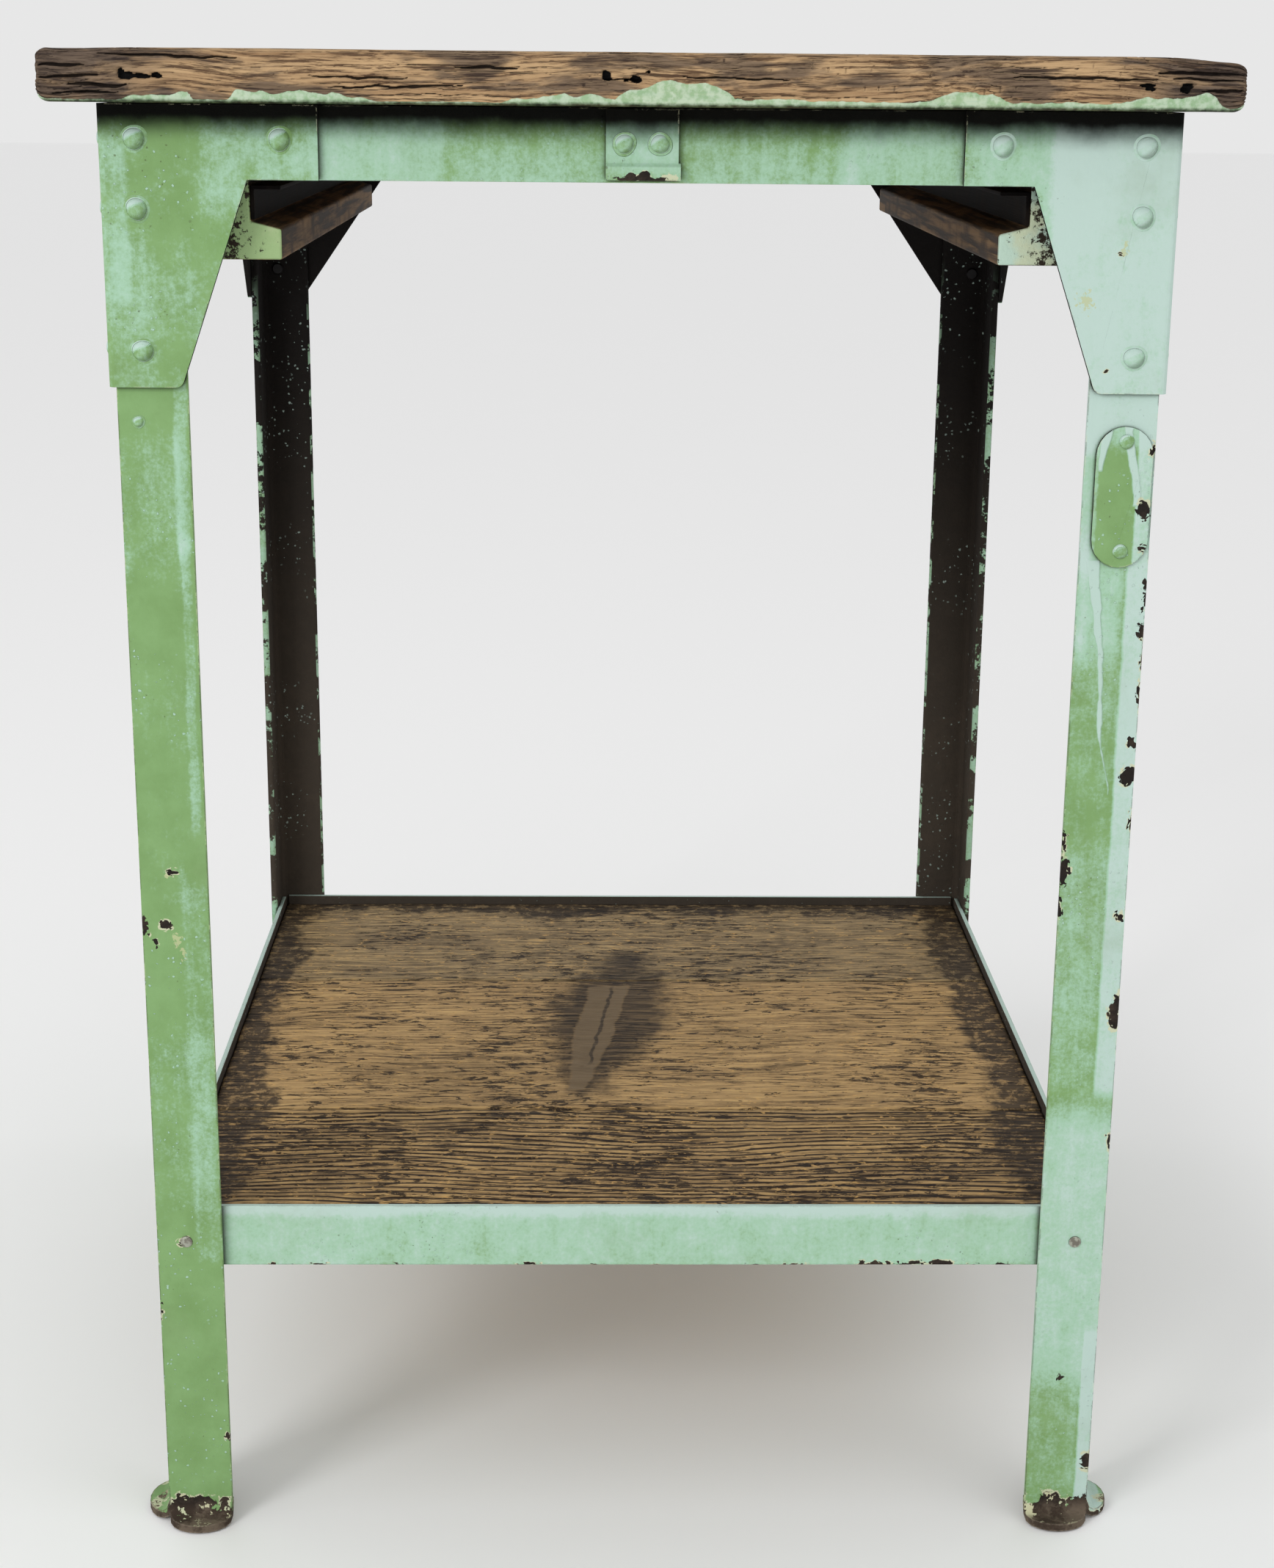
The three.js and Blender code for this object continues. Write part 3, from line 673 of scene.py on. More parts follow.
def lattice_noise(points, seed):
    """Smooth noise from 0 to 1 at each row of points, with cells one unit wide."""
    cell = np.floor(points).astype(np.int64)
    within = points - cell
    within = within * within * (3 - 2 * within)
    result = np.zeros(len(points))
    for corner in np.ndindex(2, 2, 2):
        at = cell + np.array(corner)
        mixed = at[:, 0] * 374761393 + at[:, 1] * 668265263 + at[:, 2] * 2147483647 + seed * 1274126177
        mixed = (mixed ^ (mixed >> 13)) * 1274126177 & 0xFFFFFFFF
        mixed = (mixed ^ (mixed >> 16)) & 0xFFFF
        weight = np.prod(np.where(np.array(corner) == 1, within, 1 - within), axis=1)
        result += weight * mixed / 0xFFFF
    return result


def fractal(points, size, seed, octaves=3):
    """Layered noise from 0 to 1, whose largest features have the given (x, y, z) size in metres."""
    result = np.zeros(len(points))
    strength, total = 1.0, 0.0
    scaled = points / np.array(size)
    for octave in range(octaves):
        result += strength * lattice_noise(scaled * 2**octave + 17.3 * octave, seed + octave)
        total += strength
        strength *= 0.5
    return result / total


def smooth(value, low, high):
    t = np.clip((value - low) / (high - low), 0, 1)
    return t * t * (3 - 2 * t)


def block_grid(levels):
    """A block's surface as a grid of quads, from its coordinates along X, Y and Z, wound to face outwards."""
    counts = np.array([len(level) - 1 for level in levels])
    index = np.indices(counts + 1).reshape(3, -1).T
    on_surface = np.any((index == 0) | (index == counts), axis=1)
    numbers = np.full(len(index), -1)
    numbers[on_surface] = np.arange(on_surface.sum())
    numbers = numbers.reshape(counts + 1)
    vertices = np.stack([levels[axis][index[on_surface, axis]] for axis in range(3)], axis=1)
    faces = []
    for axis in range(3):
        for end in (0, -1):
            layer = np.take(numbers, end, axis=axis)
            corners = [layer[:-1, :-1], layer[1:, :-1], layer[1:, 1:], layer[:-1, 1:]]
            quads = np.stack(corners, -1).reshape(-1, 4)
            outward = (end == -1) != (axis == 1)
            faces.append(quads if outward else quads[:, ::-1])
    return vertices, np.concatenate(faces)


def even_levels(low, high, step):
    return np.linspace(low, high, max(3, round((high - low) / step) + 1))


def make_piece(name, vertices, faces, material, smooth_faces=True):
    mesh = bpy.data.meshes.new(name)
    mesh.from_pydata([tuple(vertex) for vertex in vertices], [], [tuple(face) for face in faces])
    mesh.polygons.foreach_set("use_smooth", [smooth_faces] * len(mesh.polygons))
    mesh.materials.append(material)
    piece = bpy.data.objects.new(name, mesh)
    bpy.context.scene.collection.objects.link(piece)
    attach(piece, "root")
    return piece


def add_attribute(piece, name, values):
    attribute = piece.data.attributes.new(name, "FLOAT", "POINT")
    attribute.data.foreach_set("value", values.astype(np.float32))


SLOPE_LENGTH = 44 * MM
FINE_DEPTH = 12 * MM


def round_ends(points, low, high, radius=8 * MM, slope=2.4 * MM):
    """Draws in a top board's ends, so that their corners are rubbed round and the right one slopes."""
    middle, half = (high[2] + low[2]) / 2, (high[2] - low[2]) / 2
    past = np.clip(np.abs(points[:, 0]) - (high[0] - radius), 0, radius)
    drop = radius - np.sqrt(radius**2 - past**2)
    height = points[:, 2] - middle
    worn_top = slope * smooth(points[:, 0], high[0] - SLOPE_LENGTH, high[0])
    points[:, 2] = middle + height * (1 - (drop + np.where(height > 0, worn_top, 0)) / half)


def worn_board(node, steps, radius, wear, material):
    """Rebuilds a CAD board inside its own box. wear returns each vertex's depth and its named attributes."""
    low, high = (np.array(corner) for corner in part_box(node))
    levels = [even_levels(low[axis], high[axis], steps[axis]) for axis in range(3)]
    if node == "top_board_1":
        # Fine near the front edge, which the photograph shows close up, and coarse behind it.
        edge = low[1] + FINE_DEPTH
        fine, coarse = even_levels(low[1], edge, 0.8 * MM), even_levels(edge, high[1], 4 * MM)
        levels[1] = np.concatenate([fine, coarse[1:]])
    vertices, faces = block_grid(levels)
    core = np.clip(vertices, low + radius, high - radius)
    outward = vertices - core
    outward /= np.linalg.norm(outward, axis=1)[:, None]
    depth, attributes = wear(vertices, outward, low, high)
    worn = core + outward * (radius - np.maximum(depth, 0.03 * MM))[:, None]
    if "top_board" in node:
        round_ends(worn, low, high)
    piece = make_piece(f"{node}_timber", worn, faces, material)
    for name, values in attributes.items():
        add_attribute(piece, name, values)
    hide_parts(node)
    return piece


def scattered(numbers):
    """A steady pseudo-random value from 0 to 1 for each number."""
    return np.modf(np.abs(np.sin(numbers * 12.9898 + 4.13)) * 43758.5453)[0]


def growth_rings(vertices, seed, pitch_z, pitch_y, drift=9 * MM, checks=0.5):
    """Lapped growth rings along X: (how far each vertex lies back, grooves and checks, ring tone)."""
    wander = fractal(vertices, (0.16, 0.07, 0.06), seed, 2) - 0.5
    ripple = fractal(vertices, (0.014, 0.02, 0.02), seed + 4, 3) - 0.5
    shift = wander * drift + ripple * 2.2 * MM
    phase = (vertices[:, 2] + shift) / pitch_z + (vertices[:, 1] + shift) / pitch_y
    ring = np.floor(phase)
    within = phase - ring
    along = vertices * np.array([1, 0, 0]) + np.stack([ring * 0, ring * 0.37, ring * 0.11], axis=1)
    broken = smooth(fractal(along, (0.03, 1, 1), seed + 8, 3), 0.3, 0.62)
    bold = 0.35 + 0.65 * scattered(ring + seed)
    lap = smooth(within, 0.5, 1.0) * bold
    groove = smooth(np.minimum(within, 1 - within), 0.13, 0.02) * broken * bold

    # Checks run across a ring, from one groove to the next.
    step = 7 * MM + 9 * MM * scattered(ring * 3.1 + seed)
    cell = vertices[:, 0] / step + scattered(ring * 7.7) + ripple
    away = np.abs(cell - np.round(cell)) * step
    checked = smooth(fractal(vertices, (0.03, 0.05, 0.008), seed + 15, 2), 0.54, 0.66) * checks
    check = smooth(away, 0.6 * MM, 0.1 * MM) * checked * smooth(within, 0.0, 0.2)
    return lap, np.maximum(groove, check), scattered(ring * 1.7 + seed)


def along_split(x, z, split, wobble):
    """How deep each point lies in a split: 1 along its line, and 0 outside its half width."""
    start_x, start_z, end_x, end_z, half_width = split
    share = np.clip((x - start_x) / (end_x - start_x), 0, 1)
    beyond = np.maximum(0, np.maximum(start_x - x, x - end_x))
    line = start_z + (end_z - start_z) * share + 1.6 * wobble
    taper = 0.35 + 0.65 * np.sin(math.pi * np.clip(share, 0.02, 0.98))
    return smooth(np.hypot(z - line, beyond), half_width * taper * 1.5, half_width * taper * 0.5)


# Nail holes in the worktop's front edge: (x, z, half width, half height) in millimetres.
NAIL_HOLES = [
    (-262.5, 845.6, 3.4, 2.0), (-264.5, 847.6, 1.4, 1.6), (-256, 845.4, 5.5, 1.1),
    (-247, 845.8, 2.4, 1.3), (-19, 847.6, 2.2, 2.1), (-4, 845.8, 2.9, 1.7),
    (-9, 845.6, 1.3, 0.8), (2.4, 849.6, 0.9, 0.9), (257, 845.2, 4.0, 0.9),
    (258, 843.4, 2.6, 0.8), (277, 844.3, 2.8, 2.2),
]

# Long splits in the same edge: (start x, start z, end x, end z, half width).
FRONT_SPLITS = [
    (-276, 856.5, -206, 854.5, 0.7), (-307, 851.0, -283, 850.0, 0.8), (-308, 844.5, -276, 845.5, 0.8),
    (-292, 841.0, -262, 840.5, 0.9), (-300, 836.5, -266, 837.5, 0.6), (-170, 846.0, -120, 845.2, 0.5),
    (-160, 840.8, -92, 842.0, 0.5), (-96, 851.0, -64, 850.6, 0.8), (-19, 845.9, -2, 845.2, 0.4),
    (20, 847.2, 74, 846.2, 0.5), (188, 849.2, 262, 847.8, 0.6), (262, 851.5, 307, 852.2, 1.0),
    (270, 849.0, 306, 848.0, 0.6), (285, 842.6, 307, 842.8, 0.8),
]


def front_edge_paint(vertices, low):
    """How thickly paint crusts the lower front edge, from 0 to 1, where it dripped from the rail."""
    x = vertices[:, 0] / MM
    height = (vertices[:, 2] - low[2]) / MM
    ragged = fractal(vertices, (11 * MM, 1, 1), 71, 4)
    tall = 3.4 + 2.6 * smooth(fractal(vertices, (28 * MM, 1, 1), 77, 2), 0.32, 0.62)
    missing = smooth(x, -232, -228) * smooth(x, -206, -212) + smooth(x, -142, -136) * smooth(x, -64, -74)
    dome = 7 * np.sqrt(np.clip(1 - ((x - 16) / 30) ** 2, 0, 1))
    hump = 5 * smooth(x, 144, 160) * smooth(x, 192, 176) + 4 * smooth(x, 262, 276) * smooth(x, 304, 288)
    ends = smooth(x, -268, -258) * smooth(x, 302, 290)
    reach = (tall * (1 - 0.8 * missing) * (0.5 + 1.0 * ragged) + dome + hump * (0.6 + 0.6 * ragged)) * ends
    return smooth(reach - height, -1.1, 0.9) * smooth(x, -270, -264)


def worktop_wear(seed, front=False):
    """How a top board is worn. The front one also has the marks that the photograph shows on its edge."""

    def wear(vertices, outward, low, high):
        lap, cracks, tone = growth_rings(vertices, seed, 3.0 * MM, 6.5 * MM, checks=0.45)
        x = vertices[:, 0] / MM
        z = vertices[:, 2] / MM
        end = smooth(np.abs(x), 250, 305)
        depth = 0.3 * MM + (0.45 * MM + 0.5 * MM * end) * lap + (1.0 * MM + 1.2 * MM * end) * cracks
        depth += 0.5 * MM * fractal(vertices, (0.03, 0.03, 9 * MM), seed + 3, 3)
        depth += end * 1.3 * MM * fractal(vertices, (0.014, 0.02, 5 * MM), seed + 5, 3)
        values = {"crack": cracks, "tone": tone}
        if front:
            # Splits, nail holes, and the paint that runs a little way under the board.
            facing = smooth(-outward[:, 1], 0.2, 0.6)
            wobble = fractal(vertices, (9 * MM, 1, 9 * MM), seed + 40, 3) - 0.5
            for split in FRONT_SPLITS:
                opened = along_split(x, z, split, wobble * 1.6) * facing
                depth += opened * 2.2 * MM
                cracks = np.maximum(cracks, opened)
            from_edge = vertices[:, 1] - low[1]
            under = smooth(-outward[:, 2], 0.55, 0.9) * smooth(from_edge, 24 * MM, 12 * MM)
            paint = np.maximum(front_edge_paint(vertices, low) * facing, under)
            holes = np.zeros(len(vertices))
            for hole_x, hole_z, half_width, half_height in NAIL_HOLES:
                ragged = 1 + 0.9 * (fractal(vertices, (2.5 * MM, 9, 2.5 * MM), seed + 30, 2) - 0.5)
                away = np.hypot((x - hole_x) / half_width, (z - hole_z) / half_height) * ragged
                holes = np.maximum(holes, smooth(away, 1.15, 0.85) * facing)
            crust = 0.2 * MM + 0.3 * MM * fractal(vertices, (12 * MM, 9, 6 * MM), seed + 60, 2)
            depth += (np.minimum(depth, crust) - depth - 0.25 * MM) * paint + 0.25 * MM
            depth += holes * 3.4 * MM
            values.update(crack=cracks, paint=paint, hole=holes)
        return depth, values

    return wear


def wood_grain(graph, along, across, broad):
    """Long grain along X: (fine streaks, broad patches), both from 0 to 1."""
    drift = graph.vector("MULTIPLY", graph.noise(5.0, 2.0, colour=True), (0.0, 0.03, 0.03))
    bent = graph.vector("ADD", graph.place, drift)
    fine = graph.streaks((along, across, across), 7.0, 0.7, 0.2, bent)
    patches = graph.streaks((broad, broad * 3, broad * 5), 5.0, 0.6, 0.3, bent)
    return fine, patches


def worktop_wood(name, darkness):
    """Old softwood: tan where it's rubbed, weathered to grey-brown in patches and towards its ends."""
    graph = Graph(name)
    fine, patches = wood_grain(graph, 26.0, 620.0, 14.0)
    tone = graph.attribute("tone")
    tan = graph.blend(tone, srgb(154, 122, 88), srgb(200, 167, 125))
    tan = graph.blend(graph.ramp(fine, 0.47, 0.6, 0.0, 0.9), tan, srgb(74, 52, 38))
    tan = graph.blend(graph.ramp(fine, 0.46, 0.32, 0.0, 0.55), tan, srgb(206, 172, 130))
    ends = graph.ramp(graph.absolute(graph.x), 0.225, 0.285)
    dark = graph.total(
        graph.product(graph.ramp(patches, 0.49, 0.6), 0.8),
        graph.product(ends, graph.ramp(patches, 0.3, 0.52, 0.35, 1.0)),
        darkness,
        clamp=True,
    )
    weathered = graph.blend(graph.ramp(fine, 0.36, 0.62), srgb(92, 80, 72), srgb(42, 35, 34))
    colour = graph.blend(graph.product(dark, 0.9), tan, weathered)
    _, _, normal_z = graph.normal()
    top = graph.product(graph.ramp(normal_z, 0.3, 0.8), graph.without(ends))
    colour = graph.blend(graph.product(top, 0.35), colour, srgb(176, 152, 120))
    cracks = graph.attribute("crack")
    colour = graph.blend(graph.ramp(cracks, 0.1, 0.75, 0.0, 0.94), colour, srgb(24, 17, 14))

    # The paint that crusts the lower edge: pale outside, painted dark green where it turns under as the shade
    # beneath the board.
    mottle = graph.noise(210.0, 5.0, 0.65)
    worn_through = graph.swing(mottle, 0.9)
    paint = graph.ramp(graph.total(graph.attribute("paint"), worn_through), 0.36, 0.62, 0.0, 0.92)
    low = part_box("top_board_1")[0].z
    turned = graph.ramp(graph.total(graph.z, graph.product(mottle, 2 * MM)), low + 1.6 * MM, low + 4.0 * MM)
    crust = graph.blend(graph.ramp(mottle, 0.38, 0.62), srgb(150, 182, 142), srgb(186, 206, 180))
    shaded_crust = graph.blend(graph.ramp(mottle, 0.4, 0.6), srgb(16, 22, 11), srgb(58, 76, 42))
    colour = graph.blend(paint, colour, graph.blend(turned, shaded_crust, crust))
    holes = graph.ramp(graph.attribute("hole"), 0.2, 0.5)
    colour = graph.blend(holes, colour, srgb(5, 4, 4))

    roughness = graph.total(graph.product(fine, 0.2), 0.62, graph.product(paint, -0.15))
    grain = graph.product(fine, graph.without(paint), 0.6)
    height = graph.total(grain, graph.product(mottle, 0.16), graph.product(patches, 0.3))
    return graph.finish(colour, roughness, graph.relief(height, 0.8 * MM), 0.0, 0.15)


def shelf_wear(seed, ridged, scraped=False):
    """How a shelf board is worn. ridged says how far its grain stands up."""

    def wear(vertices, outward, low, high):
        lap, grooves, tone = growth_rings(vertices, seed, 30 * MM, 7.5 * MM, 30 * MM, checks=0.1)
        dents = fractal(vertices, (0.05, 0.03, 0.05), seed + 5, 3)
        grooves = grooves * (0.25 + 0.75 * ridged)
        depth = 0.1 * MM + 0.25 * MM * lap * ridged + 0.5 * MM * grooves
        depth += 0.6 * MM * smooth(dents, 0.45, 0.8)
        if scraped:
            hollow = 1 - np.hypot((vertices[:, 0] + 22 * MM) / (16 * MM), vertices[:, 1] / (95 * MM))
            depth += 0.9 * MM * smooth(hollow, 0.0, 0.5) * smooth(outward[:, 2], 0.5, 0.9)
        return depth, {"crack": grooves, "tone": tone}

    return wear


def shelf_wood(name, light, middle, streaky, dirty, scar=False, knot=None):
    """Stained softwood, gold where it's worn and dark round its borders. streaky darkens its grain lines."""
    graph = Graph(name)
    fine, patches = wood_grain(graph, 22.0, 420.0, 9.0)
    tone = graph.attribute("tone")
    colour = graph.blend(graph.total(graph.product(tone, 0.5), graph.product(patches, 0.5)), middle, light)
    uneven = graph.noise(17.0, 5.0, 0.7, 0.5)
    dark_lines = graph.product(graph.ramp(fine, 0.49, 0.6), graph.ramp(uneven, 0.38, 0.6, 0.3, 1.0))
    gold_lines = graph.product(graph.ramp(fine, 0.48, 0.36), graph.ramp(uneven, 0.58, 0.4, 0.25, 0.9))
    colour = graph.blend(dark_lines, colour, srgb(54, 43, 32))
    colour = graph.blend(gold_lines, colour, srgb(216, 180, 120))
    bend = graph.product(graph.streaks((4.0, 9.0, 1.0), 3.0, 0.5), 0.05)
    turns = graph.product(graph.total(graph.y, bend), 2 * math.pi / (6.2 * MM))
    breaks = graph.streaks((16.0, 150.0, 1.0), 4.0, 0.65)
    lines = graph.ramp(graph.total(graph.maths("SINE", turns), graph.product(breaks, 1.6)), 0.9, 1.5)
    colour = graph.blend(graph.product(lines, streaky), colour, srgb(40, 29, 21))
    colour = graph.blend(graph.product(graph.attribute("crack"), 0.5), colour, srgb(38, 28, 22))

    if knot:
        offset = graph.vector("SUBTRACT", graph.ragged(60.0, 4 * MM), (knot[0] * MM, knot[1] * MM, SHELF_TOP))
        away = graph.vector("LENGTH", graph.vector("MULTIPLY", offset, (1.0, 1.7, 0.0)), None)
        rings = graph.ramp(graph.maths("SINE", graph.product(away, 1400.0)), -0.2, 0.8, 0.55, 0.95)
        knotted = graph.product(graph.ramp(away, 16 * MM, 9 * MM), rings)
        colour = graph.blend(knotted, colour, srgb(48, 36, 26))

    # Short dark flecks that follow the grain, in drifts, and pale rubbed ones.
    flecked = graph.streaks((58.0, 190.0, 190.0), 5.0, 0.75, 0.6)
    drifts = graph.ramp(graph.noise(9.0, 4.0, 0.6), 0.36, 0.66, 0.06, -0.03)
    dark_fleck = graph.ramp(graph.less(flecked, drifts), 0.54, 0.57)
    colour = graph.blend(graph.product(dark_fleck, 0.9), colour, srgb(36, 27, 21))
    rubbed = graph.streaks((120.0, 260.0, 200.0), 4.0, 0.7, 0.4)
    colour = graph.blend(graph.ramp(rubbed, 0.59, 0.64, 0.0, 0.8), colour, srgb(210, 168, 104))

    # Dirt: a dark border along the rails, and blotches.
    low_x, high_x = (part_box("shelf_board_middle")[end].x for end in (0, 1))
    low_y, high_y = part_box("shelf_board_front")[0].y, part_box("shelf_board_rear")[1].y
    broad_shift = graph.vector("SUBTRACT", graph.ragged(14.0, 60 * MM), graph.place)
    around = graph.vector("ADD", graph.ragged(75.0, 34 * MM), broad_shift)
    wander_x, wander_y, _ = graph.split(around)
    border = graph.highest(
        graph.ramp(wander_x, low_x + 36 * MM, low_x + 22 * MM),
        graph.ramp(wander_x, high_x - 36 * MM, high_x - 22 * MM),
        graph.ramp(wander_y, high_y - 30 * MM, high_y - 16 * MM),
        graph.product(graph.ramp(wander_y, low_y + 14 * MM, low_y + 2 * MM), 0.5),
    )
    speckled = graph.ramp(graph.noise(110.0, 6.0, 0.75), 0.4, 0.52, 0.35, 1.0)
    blotch = graph.ramp(graph.noise(13.0, 6.0, 0.68, 0.6), 0.5, 0.68)
    dirt = graph.total(graph.product(border, speckled), graph.product(blotch, speckled, dirty), clamp=True)
    dirt, scrape = scarred(graph, dirt, fine)
    if scar:
        colour = graph.blend(scrape, colour, graph.blend(fine, srgb(150, 128, 96), srgb(96, 80, 60)))
    black = graph.blend(graph.ramp(fine, 0.4, 0.65), srgb(58, 48, 39), srgb(26, 21, 18))
    colour = graph.blend(graph.product(dirt, 0.9), colour, black)

    roughness = graph.total(graph.product(fine, 0.25), 0.5)
    height = graph.total(graph.product(fine, 0.6), graph.product(dark_fleck, -0.25))
    height = graph.total(height, graph.product(patches, 0.4))
    return graph.finish(colour, roughness, graph.relief(height, 0.6 * MM), 0.0, 0.12)


def seam_dirt(graph):
    """Dirt packed along both seams between the shelf boards."""
    _, wander_y, _ = graph.split(graph.ragged(60.0, 3 * MM))
    found = 0.0
    for node in ("shelf_board_front", "shelf_board_middle"):
        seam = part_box(node)[1].y
        away = graph.absolute(graph.less(wander_y, seam))
        found = graph.highest(found, graph.ramp(away, 2.4 * MM, 0.8 * MM))
    return found


def scarred(graph, dirt, fine):
    """The stain across the shelf and the slanted scrape inside it: (the new dirt, the scrape)."""
    around = graph.ragged(46.0, 9 * MM)
    offset = graph.vector("SUBTRACT", around, (-22.5 * MM, 0.0, SHELF_TOP))
    across, along, _ = graph.split(offset)
    slanted = graph.less(across, graph.product(along, 0.115))
    beside = graph.absolute(slanted)
    width = graph.ramp(along, -108 * MM, 20 * MM, 6 * MM, 14 * MM)
    scrape = graph.ramp(graph.less(beside, width), 1.5 * MM, -1.5 * MM)
    scrape = graph.product(scrape, graph.band(along, -98 * MM, 96 * MM, 4 * MM))
    slot = graph.ramp(graph.absolute(graph.total(slanted, -3 * MM)), 1.8 * MM, 0.7 * MM)
    slot = graph.product(slot, graph.band(along, -45 * MM, 88 * MM, 14 * MM))
    far = graph.absolute(graph.total(along, -40 * MM))
    lopsided = graph.absolute(graph.total(slanted, -6 * MM))
    stain_width = graph.ramp(far, 10 * MM, 150 * MM, 42 * MM, 12 * MM)
    patchy = graph.swing(graph.noise(30.0, 6.0, 0.7), 70 * MM)
    stain = graph.ramp(graph.total(graph.less(lopsided, stain_width), patchy), 14 * MM, -14 * MM)
    stain = graph.product(stain, graph.band(along, -104 * MM, 160 * MM, 20 * MM))
    stain = graph.product(stain, graph.ramp(fine, 0.3, 0.55, 0.72, 1.0))
    dirt = graph.highest(graph.total(dirt, stain, clamp=True), seam_dirt(graph))
    kept = graph.product(scrape, graph.without(graph.product(slot, 0.9)))
    return graph.product(dirt, graph.without(graph.product(kept, 0.85))), scrape


def lay_boards():
    front_wood = worktop_wood("worktop_timber_front", 0.05)
    weathered = worktop_wood("worktop_timber", 0.3)
    wear = worktop_wear(11, True)
    worn_board("top_board_1", (MM, MM, 0.5 * MM), 4 * MM, wear, front_wood)
    steps = (2.2 * MM, 2.0 * MM, 1.6 * MM)
    for number in (2, 3, 4):
        wear = worktop_wear(number * 13)
        worn_board(f"top_board_{number}", steps, 3 * MM, wear, weathered)

    gold, tan = srgb(206, 170, 114), srgb(148, 120, 82)
    pale_gold, pale_tan = srgb(206, 170, 116), srgb(160, 130, 88)
    grey, grey_tan = srgb(172, 148, 108), srgb(132, 112, 82)
    front = shelf_wood("shelf_timber_front", gold, tan, 0.95, 0.55, knot=(-4, -222))
    middle = shelf_wood("shelf_timber_middle", pale_gold, pale_tan, 0.12, 0.35, scar=True)
    rear = shelf_wood("shelf_timber_rear", grey, grey_tan, 0.16, 0.5)
    steps = (2.2 * MM, 1.6 * MM, 3 * MM)
    boards = (("front", 7, 1.0, front), ("middle", 42, 0.2, middle), ("rear", 63, 0.2, rear))
    for name, seed, ridged, material in boards:
        wear = shelf_wear(seed, ridged, name == "middle")
        worn_board(f"shelf_board_{name}", steps, 1.8 * MM, wear, material)


def runner_wood():
    """Brown timber, painted black at the top as the shade under the worktop, with rubbed paint on the
    runners' front ends.
    """
    graph = Graph("runner_timber")
    stretched = graph.vector("MULTIPLY", graph.place, (200.0, 9.0, 200.0))
    fine = graph.noise(1.0, 5.0, 0.6, 0.3, stretched)
    patches = graph.noise(26.0, 5.0)
    wood = graph.blend(graph.ramp(fine, 0.4, 0.6), srgb(46, 34, 23), srgb(120, 94, 64))
    wood = graph.blend(graph.ramp(patches, 0.45, 0.7), wood, srgb(52, 41, 31))
    # Painted shade: near-black towards the worktop above.
    high = graph.ramp(graph.z, LEG_TOP - 56 * MM, LEG_TOP - 38 * MM)
    wood = graph.blend(graph.product(high, 0.93), wood, srgb(14, 9, 8))
    _, facing, _ = graph.normal()
    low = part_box("drawer_runner_left")[0].y
    end = graph.product(graph.ramp(facing, -0.5, -0.8), graph.ramp(graph.y, low + 4 * MM, low + 2 * MM))
    speckle = graph.noise(260.0, 6.0, 0.75)
    outer = graph.ramp(graph.absolute(graph.x), 0.2, 0.222)
    worn = graph.total(speckle, graph.product(outer, 0.16), graph.product(high, 0.1))
    left = graph.ramp(graph.x, 0.02, -0.02)
    paint = graph.blend(left, srgb(182, 206, 190), srgb(154, 180, 128))
    paint = graph.blend(graph.ramp(patches, 0.5, 0.62, 0.0, 0.7), paint, srgb(196, 200, 164))
    paint = graph.blend(graph.ramp(worn, 0.6, 0.66), paint, srgb(44, 36, 28))
    colour = graph.blend(end, wood, paint)
    normal = graph.relief(graph.total(fine, graph.product(speckle, -0.5)), 0.6 * MM)
    return graph.finish(colour, graph.total(graph.product(fine, 0.2), 0.6), normal, 0.0, 0.15)


def guide_steel():
    """Steel painted near-black as the shade in the drawer bay, scratched lengthways."""
    graph = Graph("guide_steel")
    stain = graph.noise(50.0, 6.0, 0.7)
    scratches = graph.streaks((900.0, 12.0, 900.0), 4.0, 0.6)
    colour = graph.blend(graph.ramp(stain, 0.4, 0.65), srgb(10, 8, 8), srgb(27, 22, 19))
    colour = graph.blend(graph.product(scratches, 0.3), colour, srgb(18, 13, 11))
    roughness = graph.total(graph.product(stain, 0.2), 0.7)
    return graph.finish(colour, roughness, graph.relief(scratches, 0.2 * MM), 0.0, 0.06)


def fit_drawer_bay():
    wood = runner_wood()
    steel = guide_steel()
    for side in ("left", "right"):
        soften(f"drawer_runner_{side}", 1.4 * MM, wood, 3)
        soften(f"drawer_guide_{side}", 0.4 * MM, steel)


# ---------------------------------------------------------------- rivet skins


def head_skins(name, places, radius, rise, material):
    """Paint built up over domed heads, as one piece. A place is (point on the face, outward direction)."""
    around, rings = 36, 9
    slopes = np.linspace(0.0, math.radians(84), rings)
    vertices, faces = [], []
    for number, (centre, outward) in enumerate(places):
        turn = Vector((0, 0, 1)).rotation_difference(outward).to_matrix()
        profile = [(radius * math.sin(slope), rise * math.cos(slope)) for slope in slopes[1:]]
        profile += [(radius * 1.03, 0.14 * rise), (radius * 1.12, 0.06 * rise), (radius * 1.3, 0.015 * rise)]
        profile += [(radius * 1.34, -0.2 * MM), (radius * 1.2, -0.25 * MM)]
        start = len(vertices)
        vertices.append(centre + turn @ Vector((0, 0, rise)))
        for ring_radius, height in profile:
            for step in range(around):
                angle = 2 * math.pi * step / around
                lump = 1 + 0.035 * math.sin(2 * angle + number * 1.9)
                lump += 0.03 * math.sin(3 * angle + number * 3.1)
                across = ring_radius * lump
                point = Vector((across * math.cos(angle), across * math.sin(angle), height))
                vertices.append(centre + turn @ point)
        for step in range(around):
            following = (step + 1) % around
            faces.append((start, start + 1 + step, start + 1 + following))
            for ring in range(len(profile) - 1):
                near = start + 1 + ring * around
                far = near + around
                faces.append((near + step, far + step, far + following, near + following))
        last = start + 1 + (len(profile) - 1) * around
        faces.append(tuple(last + step for step in reversed(range(around))))
    return make_piece(name, vertices, faces, material)


